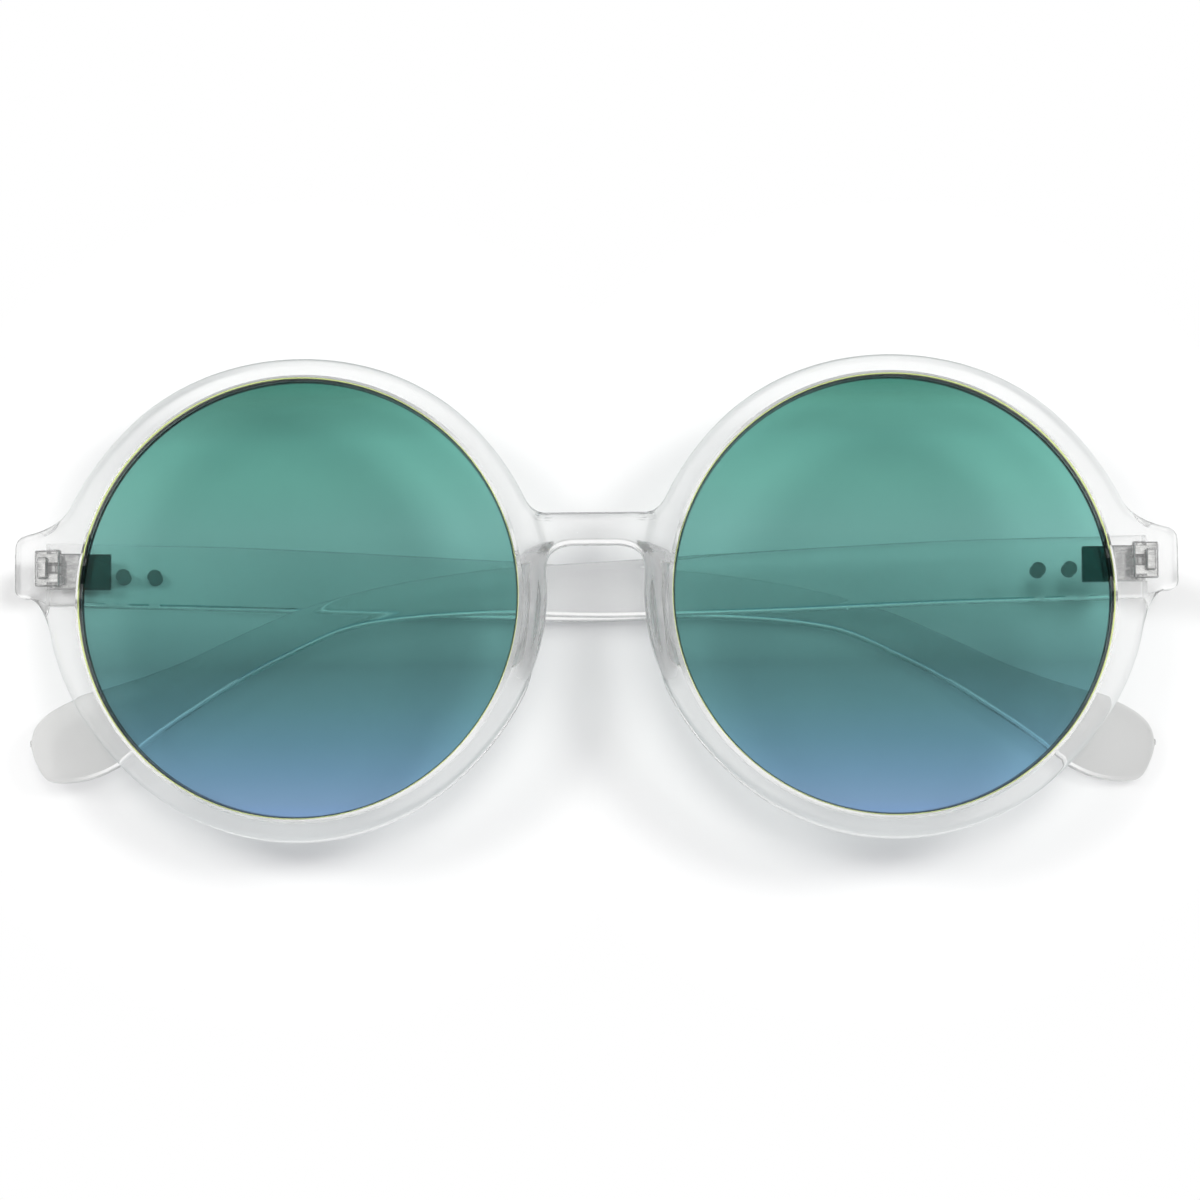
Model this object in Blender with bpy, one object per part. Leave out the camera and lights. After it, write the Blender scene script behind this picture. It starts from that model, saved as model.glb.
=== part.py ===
# Round sunglasses with a clear frame and tinted lenses, folded and lying on their temples.
# The front is drawn flat, x across the face, y towards the brow and z out of the lens fronts,
# and is then bent to an arc at the bridge. All lengths are in metres.

import math

import bmesh
import bpy
from mathutils import Vector

# Front
END_REACH = 0.0085            # lens opening to the outer edge of an end piece
LENS_SPREAD = 0.0385          # middle of the bridge to a lens centre
OPENING_RADIUS = 0.0285       # what shows of a lens inside its rim
RIM_TOP = 0.00265             # rim widths, seen from the front
RIM_UPPER_OUTER = 0.0032
RIM_OUTER = 0.0042
RIM_LOWER_OUTER = 0.0029
RIM_BOTTOM = 0.0030
RIM_LOWER_NOSE = 0.0028
RIM_NOSE = 0.0037
RIM_UPPER_NOSE = 0.0031
RIM_DEPTH = 0.0040            # front face to back face
BRIDGE_DEPTH = 0.0034         # the bridge is cut back a little behind
BRIDGE_STEP_START = 0.0070    # where its back leaves, and where it has met the rims' back
BRIDGE_STEP_END = 0.0082
EDGE_ROUND = 0.0009           # rounding of all plastic edges
BRIDGE_TOP = 0.0105           # height of the bridge's top edge over the lens centres
BRIDGE_ARCH = 0.00635         # height of the arch over the nose
BRIDGE_TOP_FLAT = 0.0064      # half length of the straight top edge
BRIDGE_ARCH_FLAT = 0.0026     # half length of the straight part of the arch
END_TOP = 0.0092              # end piece, upper and lower edge
END_BOTTOM = 0.0006
END_CORNER = 0.0013           # run of the end piece's rounded corners
END_SLOPE = 0.0010            # how far the upper edge falls towards its corner
BEND_HALF = 0.0100            # half length of the bent middle
BEND_ANGLE = math.radians(4.4)

# Angles round a lens, 0 at its outer side: where the rim's curve leaves for the bridge and the
# end piece, and which places of the opening the other points of the outline are joined with
TOP_MIDDLE = math.radians(161.4)
TOP_BEND = math.radians(160.2)
TOP_LEAVE = math.radians(156)
END_MEET = math.radians(23)
END_UPPER = math.radians(12)
END_SIDE = math.radians(7.5)
END_STEP = math.radians(2)
END_LOWER = math.radians(4.5)
END_LEAVE = math.radians(-10)
NOSE_MEET = math.radians(-184)
ARCH_BEND = math.radians(-194.2)
ARCH_MIDDLE = math.radians(-196.2)

# Nose pads, moulded on the back of the rims
PAD_HEIGHT = 0.0042           # how far a pad stands behind the rim
PAD_SPLAY_SHARE = 0.35        # how far it leans away from the nose, of its height
PAD_CREST_SHARE = 0.85        # height of its inner shoulder
PAD_MIDDLE = math.radians(-175)
PAD_REACH = math.radians(16)

# Lenses and their groove
GROOVE_SETBACK = 0.0020       # front face of the rim to the middle of the groove
GROOVE_DEPTH = 0.0011
GROOVE_MOUTH = 0.0013         # half width at the opening
GROOVE_FLOOR = 0.0006         # half width at the bottom
LENS_GAP = 0.0003             # lens edge to the bottom of the groove
LENS_THICKNESS = 0.0016
LENS_CURVE = 0.1750           # radius of the lens faces
LENS_BEVEL = 0.0006           # width of the bevel round the edge
LENS_EDGE = 0.0006            # flat that is left on the edge

# Hinges
HINGE_INSET = 0.0044          # outer edge of the end piece to the pivot
HINGE_HEIGHT = 0.0046         # pivot's middle over the lens centres
HINGE_SETBACK = 0.0015        # back of the end piece to the pivot
BARREL_RADIUS = 0.00125
BARREL_BORE = 0.00072
ARM_HALF = 0.00095            # half width of the arm between barrel and plate
MIDDLE_BARREL = 0.0011        # height of the temple's barrel
OUTER_BARREL = 0.0012         # height of each of the front's barrels
HINGE_GAP = 0.00015           # between barrels, and under the screw head
PLATE_THICKNESS = 0.0008
PLATE_HEIGHT = 0.0045
FRONT_PLATE_REACH = 0.0020    # pivot to the outer end of the front plate
TEMPLE_PLATE_REACH = 0.0066   # pivot to the inner end of the temple plate
TEMPLE_PLATE_START = 0.0007   # plate's length on the other side of the pivot
ANCHOR_DEPTH = 0.0012         # foot of a plate, set deeper in the plastic
FRONT_ANCHOR_LENGTH = 0.0011
TEMPLE_ANCHOR_LENGTH = 0.0015
ANCHOR_HEIGHT = 0.0026
ANCHOR_MARGIN = 0.0004        # end of a plate to its foot
SEAT_GAP = 0.0003             # round metal that is set into plastic
SCREW_RADIUS = 0.00055
SCREW_HEAD_RADIUS = 0.0010
SCREW_HEAD_HEIGHT = 0.0006
SCREW_TAIL = 0.0006           # what shows under the lowest barrel

# Temples
TEMPLE_LENGTH = 0.1440        # pivot to the tip
TEMPLE_HEIGHT = 0.0082        # at the hinge
TEMPLE_DROP = 0.0003          # middle of the temple under the middle of the hinge
TEMPLE_THICKNESS = 0.0032
TEMPLE_WAIST = 0.0029         # thickness half way along
PIVOT_TO_OUTER_FACE = 0.0048
END_GAP = 0.00015             # open temple's end to the end piece
PIN_RADIUS = 0.0009
PIN_LENGTH = 0.0020
PIN_GAP = 0.00015
PIN_SINK = 0.0001             # pin heads lie this far under the face
PIN_START = 0.0088            # pivot to the first pin
PIN_SPACING = 0.0041

# Pose
LEFT_FOLD = math.radians(2.7)     # folded temples from the plane of the front, opening is positive
RIGHT_FOLD = math.radians(-1.2)
OPEN_SPLAY = math.radians(3)      # open temples past square to the front

CUT_OVERRUN = 0.0005          # how far cutters pass the faces they open

# Temple outline from pivot to tip: along, upper edge and lower edge. The first is a share of the
# length, and the edges are shares of the height, over the pivot's middle.
TEMPLE_SHARES = (
    (0.166, 0.44, -0.573), (0.332, 0.293, -0.683), (0.481, 0.146, -0.744), (0.567, 0.049, -0.695),
    (0.629, -0.085, -0.732), (0.68, -0.244, -0.817), (0.719, -0.409, -0.963), (0.761, -0.634, -1.293),
    (0.809, -1.0, -1.732), (0.858, -1.405, -2.275), (0.892, -1.635, -2.69), (0.916, -1.775, -3.035),
    (0.941, -1.905, -3.255), (0.965, -2.055, -3.335), (0.985, -2.255, -3.295), (0.996, -2.465, -3.0),
    (1.0, -2.65, -2.8))

# Colours: red, green, blue, roughness, metallic
FINISHES = {
    "clear_plastic": (0.86, 0.86, 0.85, 0.12, 0.0),
    "lens_tint": (0.10, 0.27, 0.25, 0.05, 0.0),
    "hinge_metal": (0.62, 0.63, 0.63, 0.30, 1.0),
    "pin_metal": (0.42, 0.44, 0.43, 0.35, 1.0)}

HALF_WIDTH = LENS_SPREAD + OPENING_RADIUS + END_REACH
LENS_RADIUS = OPENING_RADIUS + GROOVE_DEPTH - LENS_GAP
HINGE_X = HALF_WIDTH - HINGE_INSET
MERGE_DISTANCE = 0.00001
SHARP_ANGLE = math.radians(32)
ROUND_STEPS = 2
UPPER_STEPS = 34
LOWER_STEPS = 46
CURVE_STEPS = 6
CORNER_STEPS = 3
MIDDLE_STEPS = 3
LENS_STEPS = 56
BARREL_STEPS = 20
OUTLINE_STEPS = 3


def clear_scene():
    for thing in list(bpy.data.objects):
        bpy.data.objects.remove(thing, do_unlink=True)


def finish(name):
    red, green, blue, roughness, metallic = FINISHES[name]
    material = bpy.data.materials.get(name) or bpy.data.materials.new(name)
    material.use_nodes = True
    shader = material.node_tree.nodes["Principled BSDF"]
    shader.inputs["Base Color"].default_value = (red, green, blue, 1)
    shader.inputs["Roughness"].default_value = roughness
    shader.inputs["Metallic"].default_value = metallic
    material.diffuse_color = (red, green, blue, 1)
    return material


def add_object(name, points, faces, parent, material=None):
    """One mesh object under its parent, with its faces turned outwards."""
    mesh = bpy.data.meshes.new(name)
    mesh.from_pydata([tuple(point) for point in points], [], faces)
    work = bmesh.new()
    work.from_mesh(mesh)
    bmesh.ops.recalc_face_normals(work, faces=work.faces)
    if work.calc_volume(signed=True) < 0:
        bmesh.ops.reverse_faces(work, faces=work.faces)
    work.to_mesh(mesh)
    work.free()
    mesh.shade_smooth()
    mesh.set_sharp_from_angle(angle=SHARP_ANGLE)
    thing = bpy.data.objects.new(name, mesh)
    bpy.context.collection.objects.link(thing)
    thing.parent = parent
    if material:
        mesh.materials.append(finish(material))
    else:
        thing.hide_render = True
        thing.display_type = "WIRE"
    return thing


def add_empty(name, parent, place, turn):
    empty = bpy.data.objects.new(name, None)
    bpy.context.collection.objects.link(empty)
    empty.parent = parent
    empty.location = place
    empty.rotation_euler = (0, turn, 0)
    return empty


def combine(thing, other, operation):
    boolean = thing.modifiers.new(operation.lower(), "BOOLEAN")
    boolean.operation = operation
    boolean.solver = "EXACT"
    boolean.object = other


def strips(rows, count):
    """Faces between rows of points that stand one after another, each row a closed loop."""
    faces = []
    for row in range(rows - 1):
        here, there = row * count, (row + 1) * count
        for k in range(count):
            nxt = (k + 1) % count
            faces.append((here + k, here + nxt, there + nxt, there + k))
    return faces


def skin(loops):
    """Points and faces of a body through loops of equal length, capped at both ends."""
    count = len(loops[0])
    points = [point for loop in loops for point in loop]
    faces = strips(len(loops), count)
    faces.append(tuple(range(count)))
    faces.append(tuple(range(len(points) - count, len(points))))
    return points, faces


def prism(name, outline, low, high, parent, material=None):
    """An outline of (x, z) points, pushed from one height y to another."""
    loops = [[(x, y, z) for x, z in outline] for y in (low, high)]
    points, faces = skin(loops)
    return add_object(name, points, faces, parent, material)


def circle(radius, steps, start=0.0, turn=math.tau):
    """Points (x, z) on an arc, both ends included unless it is a full turn."""
    last = steps if turn == math.tau else steps + 1
    return [(radius * math.cos(start + turn * k / steps), radius * math.sin(start + turn * k / steps))
            for k in range(last)]


def between(start, end, share):
    return start + (end - start) * share


def bezier(start, control, end, steps):
    """Points after the start, up to and with the end, of a curve that leaves and meets its legs."""
    points = []
    for k in range(1, steps + 1):
        t = k / steps
        points.append(between(between(start, control, t), between(control, end, t), t))
    return points


def smooth_row(rows, steps):
    """Rows of numbers with a smooth curve through them."""
    result = []
    for k in range(len(rows) - 1):
        before = rows[max(k - 1, 0)]
        start, end = rows[k], rows[k + 1]
        after = rows[min(k + 2, len(rows) - 1)]
        for step in range(steps):
            t = step / steps
            row = []
            for a, b, c, d in zip(before, start, end, after):
                pull = (c - a) / 2
                leave = (d - b) / 2
                row.append(b + t * (pull + t * (3 * (c - b) - 2 * pull - leave
                                                + t * (2 * (b - c) + pull + leave))))
            result.append(row)
    result.append(list(rows[-1]))
    return result


def rim_width(angle):
    """Rim width round a lens, smooth through the eight named widths. Angle 0 is the outer side."""
    widths = (RIM_OUTER, RIM_UPPER_OUTER, RIM_TOP, RIM_UPPER_NOSE,
              RIM_NOSE, RIM_LOWER_NOSE, RIM_BOTTOM, RIM_LOWER_OUTER)
    place = angle / math.tau * len(widths) % len(widths)
    first = int(place)
    t = place - first
    share = t * t * (3 - 2 * t)
    return between(widths[first], widths[(first + 1) % len(widths)], share)


def rim_point(angle):
    reach = OPENING_RADIUS + rim_width(angle)
    return Vector((LENS_SPREAD + reach * math.cos(angle), reach * math.sin(angle)))


def crossing(point, angle, level):
    """Where the rim's tangent at a point meets a level line."""
    slope = Vector((math.sin(angle), -math.cos(angle)))
    return Vector((point.x + slope.x * (level - point.y) / slope.y, level))


def angles_between(start, end, steps):
    return [between(start, end, k / steps) for k in range(1, steps + 1)]


def front_outline():
    """Right half of the front, clockwise from the bridge's top middle to the arch's middle.

    Gives the points and, for each, the angle of its partner on the lens opening."""
    points = [Vector((0, BRIDGE_TOP))]
    angles = [TOP_MIDDLE]

    def run(new_points, end_angle):
        angles.extend(angles_between(angles[-1], end_angle, len(new_points)))
        points.extend(new_points)

    top_end = Vector((BRIDGE_TOP_FLAT, BRIDGE_TOP))
    run([between(points[0], top_end, share) for share in (0.5, 1)], TOP_BEND)
    rim_start = rim_point(TOP_LEAVE)
    run(bezier(top_end, crossing(rim_start, TOP_LEAVE, BRIDGE_TOP), rim_start, CURVE_STEPS), TOP_LEAVE)
    run([rim_point(a) for a in angles_between(TOP_LEAVE, END_MEET, UPPER_STEPS)], END_MEET)
    run_end_piece(points, run)
    run([rim_point(a) for a in angles_between(END_LEAVE, NOSE_MEET, LOWER_STEPS)], NOSE_MEET)
    arch_end = Vector((BRIDGE_ARCH_FLAT, BRIDGE_ARCH))
    arch_turn = crossing(points[-1], NOSE_MEET, BRIDGE_ARCH)
    run(bezier(points[-1], arch_turn, arch_end, CURVE_STEPS), ARCH_BEND)
    run([Vector((0, BRIDGE_ARCH))], ARCH_MIDDLE)
    return points, angles


def run_end_piece(points, run):
    """Carry the outline round the end piece, from its upper flare to the rim below it."""
    corner = Vector((HALF_WIDTH, END_TOP - END_SLOPE))
    upper = Vector((HALF_WIDTH - END_CORNER, END_TOP - END_SLOPE / 2))
    flare_turn = crossing(points[-1], END_MEET, END_TOP + END_SLOPE / 2)
    lower = Vector((HALF_WIDTH - END_CORNER, END_BOTTOM))
    lower_corner = Vector((HALF_WIDTH, END_BOTTOM))
    side_top = corner - Vector((0, END_CORNER))
    side_bottom = lower_corner + Vector((0, END_CORNER))
    rim_end = rim_point(END_LEAVE)
    lower_turn = crossing(rim_end, END_LEAVE, END_BOTTOM)
    run(bezier(points[-1], flare_turn, upper, CURVE_STEPS), END_UPPER)
    run(bezier(upper, corner, side_top, CORNER_STEPS), END_SIDE)
    run([between(side_top, side_bottom, 0.5), side_bottom], END_SIDE - END_STEP)
    run(bezier(side_bottom, lower_corner, lower, CORNER_STEPS), END_LOWER)
    run(bezier(lower, lower_turn, rim_end, CURVE_STEPS), END_LEAVE)


def inward_normals(points):
    normals = []
    for k in range(len(points)):
        along = points[min(k + 1, len(points) - 1)] - points[max(k - 1, 0)]
        normals.append(Vector((along.y, -along.x)).normalized())
    normals[0] = Vector((0, -1))
    normals[-1] = Vector((0, 1))
    return normals


def bend(x, y, z):
    """The flat front bent about y: an arc in the middle, straight beyond it."""
    radius = BEND_HALF / BEND_ANGLE
    angle = min(x / BEND_HALF, 1) * BEND_ANGLE
    rest = max(x - BEND_HALF, 0)
    across = radius * math.sin(angle) + rest * math.cos(angle) + z * math.sin(angle)
    depth = -radius * (1 - math.cos(angle)) - rest * math.sin(angle) + z * math.cos(angle)
    return across, y, depth


def pad_share(angle):
    away = min(abs(angle - PAD_MIDDLE) / PAD_REACH, 1)
    return (1 - away ** 3) ** 2


def edge_profile():
    """Inset and depth of the rounded outer wall, front to back."""
    steps = [math.pi / 2 * k / ROUND_STEPS for k in range(ROUND_STEPS + 1)]
    front = [(EDGE_ROUND * (1 - math.sin(a)), EDGE_ROUND * (1 - math.cos(a))) for a in steps]
    return front + [(inset, RIM_DEPTH - depth) for inset, depth in reversed(front)]


def opening_profile():
    """Radius and depth of the lens opening with its groove, back to front."""
    floor = OPENING_RADIUS + GROOVE_DEPTH
    return ((OPENING_RADIUS, RIM_DEPTH), (OPENING_RADIUS, GROOVE_SETBACK + GROOVE_MOUTH),
            (floor, GROOVE_SETBACK + GROOVE_FLOOR), (floor, GROOVE_SETBACK - GROOVE_FLOOR),
            (OPENING_RADIUS, GROOVE_SETBACK - GROOVE_MOUTH), (OPENING_RADIUS, 0))


def opening_points(angle):
    return [Vector((LENS_SPREAD + radius * math.cos(angle), radius * math.sin(angle), -depth))
            for radius, depth in opening_profile()]


def back_step(x):
    """How far the back lies in front of the rims' back, at a distance from the middle."""
    share = (BRIDGE_STEP_END - x) / (BRIDGE_STEP_END - BRIDGE_STEP_START)
    return (RIM_DEPTH - BRIDGE_DEPTH) * min(max(share, 0), 1)


def wall_points(point, normal, share):
    """Outer wall at one place of the outline, with the pad's swelling on its back edge."""
    wall = []
    for inset, depth in edge_profile():
        behind = depth > RIM_DEPTH / 2
        grow = PAD_HEIGHT * share if behind else 0
        place = point + normal * (inset + grow * PAD_SPLAY_SHARE)
        step = back_step(place.x) * (1 - share) if behind else 0
        wall.append(Vector((place.x, place.y, step - depth - grow)))
    return wall


def front_sections():
    """Closed sections of the right half, each from the lens opening round the outer wall."""
    points, angles = front_outline()
    sections = []
    for point, normal, angle in zip(points, inward_normals(points), angles):
        share = pad_share(angle)
        opening = opening_points(angle)
        wall = wall_points(point, normal, share)
        back = between(wall[-1], opening[0], 0.5)
        back.z -= PAD_HEIGHT * (PAD_CREST_SHARE - 0.5) * share
        front = between(opening[-1], wall[0], 0.5)
        sections.append(wall + [back] + opening + [front])
    return sections, angles


def front_mesh():
    """Right half of the front: strips between sections, open only on the middle plane."""
    sections, angles = front_sections()
    size = len(sections[0])
    walls = len(edge_profile())
    points = [bend(*place) for section in sections for place in section]
    faces = strips(len(sections), size)
    return middle_strip(points, faces, sections, angles, size, walls)


def middle_strip(points, faces, sections, angles, size, walls):
    """Close the front and back between the bridge's top and its arch, along the middle plane."""
    first, last = 0, (len(sections) - 1) * size
    lower, upper = sections[-1], sections[0]
    rows = [last]
    for step in range(1, MIDDLE_STEPS):
        share = step / MIDDLE_STEPS
        angle = between(angles[-1], angles[0] - math.tau, share)
        front = between(lower[0], upper[0], share)
        back = between(lower[walls - 1], upper[walls - 1], share)
        opening = opening_points(angle)
        row = [front, back, between(back, opening[0], 0.5)] + opening
        row.append(between(opening[-1], front, 0.5))
        rows.append(len(points))
        points += [bend(*place) for place in row]
    rows.append(first)
    for here, there in zip(rows[:-1], rows[1:]):
        a = strip_index(here, here in (first, last), size, walls)
        b = strip_index(there, there in (first, last), size, walls)
        for k in range(len(a) - 1):
            faces.append((a[k], a[k + 1], b[k + 1], b[k]))
    return points, faces


def strip_index(start, is_section, size, walls):
    """Points of one row from the back edge round the opening to the front edge."""
    if is_section:
        return list(range(start + walls - 1, start + size)) + [start]
    count = size - walls + 2
    return list(range(start + 1, start + count)) + [start]


def build_front(root):
    points, faces = front_mesh()
    front = add_object("front_frame", points, faces, root, "clear_plastic")
    mirror = front.modifiers.new("other half", "MIRROR")
    mirror.use_clip = True
    mirror.merge_threshold = MERGE_DISTANCE
    return front


def build_lens(name, side, root):
    """A curved shell with a bevelled edge, turned about its own axis and set in the groove."""
    body = LENS_RADIUS - LENS_BEVEL

    def dome(radius):
        return math.sqrt(LENS_CURVE ** 2 - radius ** 2) - math.sqrt(LENS_CURVE ** 2 - body ** 2)

    shares = (0.25, 0.5, 0.75, 1)
    half = LENS_THICKNESS / 2
    profile = [(body * share, dome(body * share) + half) for share in shares]
    profile += [(LENS_RADIUS, LENS_EDGE / 2), (LENS_RADIUS, -LENS_EDGE / 2)]
    profile += [(body * share, dome(body * share) - half) for share in reversed(shares)]
    loops = [[(radius * c, radius * s, z) for c, s in circle(1, LENS_STEPS)] for radius, z in profile]
    points, faces = skin(loops)
    faces = faces[:-2]
    for start, z in ((0, dome(0) + half), (len(points) - LENS_STEPS, dome(0) - half)):
        points.append((0, 0, z))
        pole = len(points) - 1
        faces += [(start + k, start + (k + 1) % LENS_STEPS, pole) for k in range(LENS_STEPS)]
    lens = add_object(name, points, faces, root, "lens_tint")
    x, y, z = bend(LENS_SPREAD, 0, -GROOVE_SETBACK)
    lens.location = (side * x, y, z)
    lens.rotation_euler = (0, side * BEND_ANGLE, 0)
    return lens


def finger_outline(top):
    """Barrel with its arm, seen along the pivot: round below, straight up to the given height."""
    foot = math.asin(ARM_HALF / BARREL_RADIUS)
    arc = circle(BARREL_RADIUS, BARREL_STEPS, math.pi / 2 - foot, -(math.tau - 2 * foot))
    return [(ARM_HALF, top)] + arc + [(-ARM_HALF, top)]


def bore_cutter(name, parent):
    half = PLATE_HEIGHT
    return prism(name, circle(BARREL_BORE, BARREL_STEPS), HINGE_HEIGHT - half, HINGE_HEIGHT + half, parent)


def flipped(points, side):
    """Points drawn for the left hinge or temple, turned over for the right one."""
    return [(-side * x, y, z) for x, y, z in points]


def sided_block(name, low, high, side, parent, material=None):
    ends = sorted((-side * low[0], -side * high[0]))
    outline = ((ends[0], low[2]), (ends[1], low[2]), (ends[1], high[2]), (ends[0], high[2]))
    return prism(name, outline, low[1], high[1], parent, material)


def build_front_hinge(tag, side, frame, front):
    """Plate, foot and two barrels, with their pocket in the back of the end piece."""
    seat = HINGE_SETBACK
    floor = seat + PLATE_THICKNESS
    deep = floor + ANCHOR_DEPTH
    half = PLATE_HEIGHT / 2
    middle = HINGE_HEIGHT
    plate_end = ARM_HALF / 2
    leaf = sided_block("hinge_front_" + tag, (-FRONT_PLATE_REACH, middle - half, seat),
                       (-plate_end, middle + half, floor), side, frame, "hinge_metal")
    foot_end = -FRONT_PLATE_REACH + ANCHOR_MARGIN
    foot = ((foot_end, middle - ANCHOR_HEIGHT / 2, seat + PLATE_THICKNESS / 2),
            (foot_end + FRONT_ANCHOR_LENGTH, middle + ANCHOR_HEIGHT / 2, deep))
    combine(leaf, sided_block("front_foot_" + tag, *foot, side, frame), "UNION")
    inner = MIDDLE_BARREL / 2 + HINGE_GAP
    for word, start in (("upper", inner), ("lower", -inner - OUTER_BARREL)):
        finger = prism("front_%s_finger_%s" % (word, tag), finger_outline(floor),
                       middle + start, middle + start + OUTER_BARREL, frame)
        combine(leaf, finger, "UNION")
    combine(leaf, bore_cutter("front_bore_" + tag, frame), "DIFFERENCE")
    pocket = sided_block("front_pocket_" + tag, (-FRONT_PLATE_REACH - SEAT_GAP, middle - half - SEAT_GAP,
                         seat - CUT_OVERRUN), (ARM_HALF + SEAT_GAP, middle + half + SEAT_GAP,
                         floor + SEAT_GAP), side, frame)
    foot_pocket = sided_block("front_foot_pocket_" + tag,
                              (foot[0][0] - SEAT_GAP, foot[0][1] - SEAT_GAP, floor),
                              (foot[1][0] + SEAT_GAP, foot[1][1] + SEAT_GAP, deep + SEAT_GAP), side, frame)
    combine(front, pocket, "DIFFERENCE")
    combine(front, foot_pocket, "DIFFERENCE")


def build_screw(tag, frame):
    """Head, shank and tail in one turned piece, standing along the pivot."""
    top = HINGE_HEIGHT + MIDDLE_BARREL / 2 + HINGE_GAP + OUTER_BARREL + HINGE_GAP
    bottom = HINGE_HEIGHT - MIDDLE_BARREL / 2 - HINGE_GAP - OUTER_BARREL - SCREW_TAIL
    chamfer = SCREW_HEAD_HEIGHT / 4
    profile = ((SCREW_RADIUS - chamfer, bottom), (SCREW_RADIUS, bottom + chamfer), (SCREW_RADIUS, top),
               (SCREW_HEAD_RADIUS, top), (SCREW_HEAD_RADIUS, top + SCREW_HEAD_HEIGHT - chamfer),
               (SCREW_HEAD_RADIUS - chamfer, top + SCREW_HEAD_HEIGHT))
    loops = [[(x, y, z) for x, z in circle(radius, BARREL_STEPS)] for radius, y in profile]
    points, faces = skin(loops)
    add_object("hinge_screw_" + tag, points, faces, frame, "hinge_metal")


def temple_thickness(share):
    return between(TEMPLE_THICKNESS, TEMPLE_WAIST, math.sin(math.pi * share) ** 2)


def rounded_section(low, high, back, front, radius):
    """Section across a temple: (y, z) points of a box with rounded corners."""
    points = []
    corners = ((high - radius, front - radius, 0), (low + radius, front - radius, 1),
               (low + radius, back + radius, 2), (high - radius, back + radius, 3))
    for y, z, quarter in corners:
        for step in range(ROUND_STEPS + 1):
            angle = math.pi / 2 * (quarter + step / ROUND_STEPS)
            points.append((y + radius * math.cos(angle), z + radius * math.sin(angle)))
    return points


def temple_loops():
    """Sections of the left temple from its cut end to the tip. The inner face looks along +z."""
    slant = OPEN_SPLAY + BEND_ANGLE
    rows = smooth_row(((0, 0.5, -0.5),) + TEMPLE_SHARES, OUTLINE_STEPS)
    loops = []
    for k, (share, upper, lower) in enumerate(rows):
        along = share * TEMPLE_LENGTH
        high = HINGE_HEIGHT - TEMPLE_DROP + upper * TEMPLE_HEIGHT
        low = HINGE_HEIGHT - TEMPLE_DROP + lower * TEMPLE_HEIGHT
        left = max(TEMPLE_LENGTH - along, 0)
        inset = 0.0
        if left < EDGE_ROUND:
            inset = EDGE_ROUND - math.sqrt(EDGE_ROUND ** 2 - (EDGE_ROUND - left) ** 2)
        inset = min(inset, (high - low) / 4)
        radius = min(EDGE_ROUND, (high - low) / 2 - inset) - inset / 2
        back = -PIVOT_TO_OUTER_FACE
        front = back + temple_thickness(share)
        section = rounded_section(low + inset, high - inset, back + inset, front - inset, radius)
        if k == 0:
            setback = HINGE_SETBACK - END_GAP
            loops.append([((-z * math.sin(slant) - setback) / math.cos(slant), y, z)
                          for y, z in section])
        else:
            loops.append([(along, y, z) for y, z in section])
    return loops


def build_temple(tag, side, axis):
    loops = [flipped(loop, side) for loop in temple_loops()]
    points, faces = skin(loops)
    temple = add_object("temple_" + tag, points, faces, axis, "clear_plastic")
    inner_face = TEMPLE_THICKNESS - PIVOT_TO_OUTER_FACE
    build_temple_hinge(tag, side, axis, temple, inner_face)
    for word, place in (("front", PIN_START), ("rear", PIN_START + PIN_SPACING)):
        build_pin("%s_%s" % (tag, word), side, place, axis, temple)


def build_temple_hinge(tag, side, axis, temple, inner_face):
    """Plate, foot and middle barrel, with their pocket in the temple's inner face."""
    floor = inner_face - PLATE_THICKNESS
    deep = floor - ANCHOR_DEPTH
    half = PLATE_HEIGHT / 2
    middle = HINGE_HEIGHT
    leaf = sided_block("hinge_temple_" + tag, (-TEMPLE_PLATE_START, middle - half, floor),
                       (TEMPLE_PLATE_REACH, middle + half, inner_face), side, axis, "hinge_metal")
    foot_end = TEMPLE_PLATE_REACH - ANCHOR_MARGIN
    foot = ((foot_end - TEMPLE_ANCHOR_LENGTH, middle - ANCHOR_HEIGHT / 2, deep),
            (foot_end, middle + ANCHOR_HEIGHT / 2, inner_face - PLATE_THICKNESS / 2))
    combine(leaf, sided_block("temple_foot_" + tag, *foot, side, axis), "UNION")
    outline = [(x, -z) for x, z in finger_outline(PLATE_THICKNESS / 2 - inner_face)]
    finger = prism("temple_finger_" + tag, outline, middle - MIDDLE_BARREL / 2,
                   middle + MIDDLE_BARREL / 2, axis)
    combine(leaf, finger, "UNION")
    combine(leaf, bore_cutter("temple_bore_" + tag, axis), "DIFFERENCE")
    pocket = sided_block("temple_pocket_" + tag, (-PIVOT_TO_OUTER_FACE, middle - half - SEAT_GAP,
                         floor - SEAT_GAP), (TEMPLE_PLATE_REACH + SEAT_GAP, middle + half + SEAT_GAP,
                         inner_face + CUT_OVERRUN), side, axis)
    foot_pocket = sided_block("temple_foot_pocket_" + tag,
                              (foot[0][0] - SEAT_GAP, foot[0][1] - SEAT_GAP, deep - SEAT_GAP),
                              (foot[1][0] + SEAT_GAP, foot[1][1] + SEAT_GAP, floor), side, axis)
    combine(temple, pocket, "DIFFERENCE")
    combine(temple, foot_pocket, "DIFFERENCE")


def pin_height(along):
    """Middle of the temple at a distance from the pivot, near the hinge."""
    share, upper, lower = TEMPLE_SHARES[0]
    drop = (upper + lower) / 2 * TEMPLE_HEIGHT
    return HINGE_HEIGHT - TEMPLE_DROP + drop * along / (share * TEMPLE_LENGTH)


def disc_rows(radius, low, high, x, y, side):
    """Two rings of a round piece that stands square to the temple's faces."""
    return [[(-side * (x + across), y + up, z) for across, up in circle(radius, BARREL_STEPS)]
            for z in (low, high)]


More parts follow.
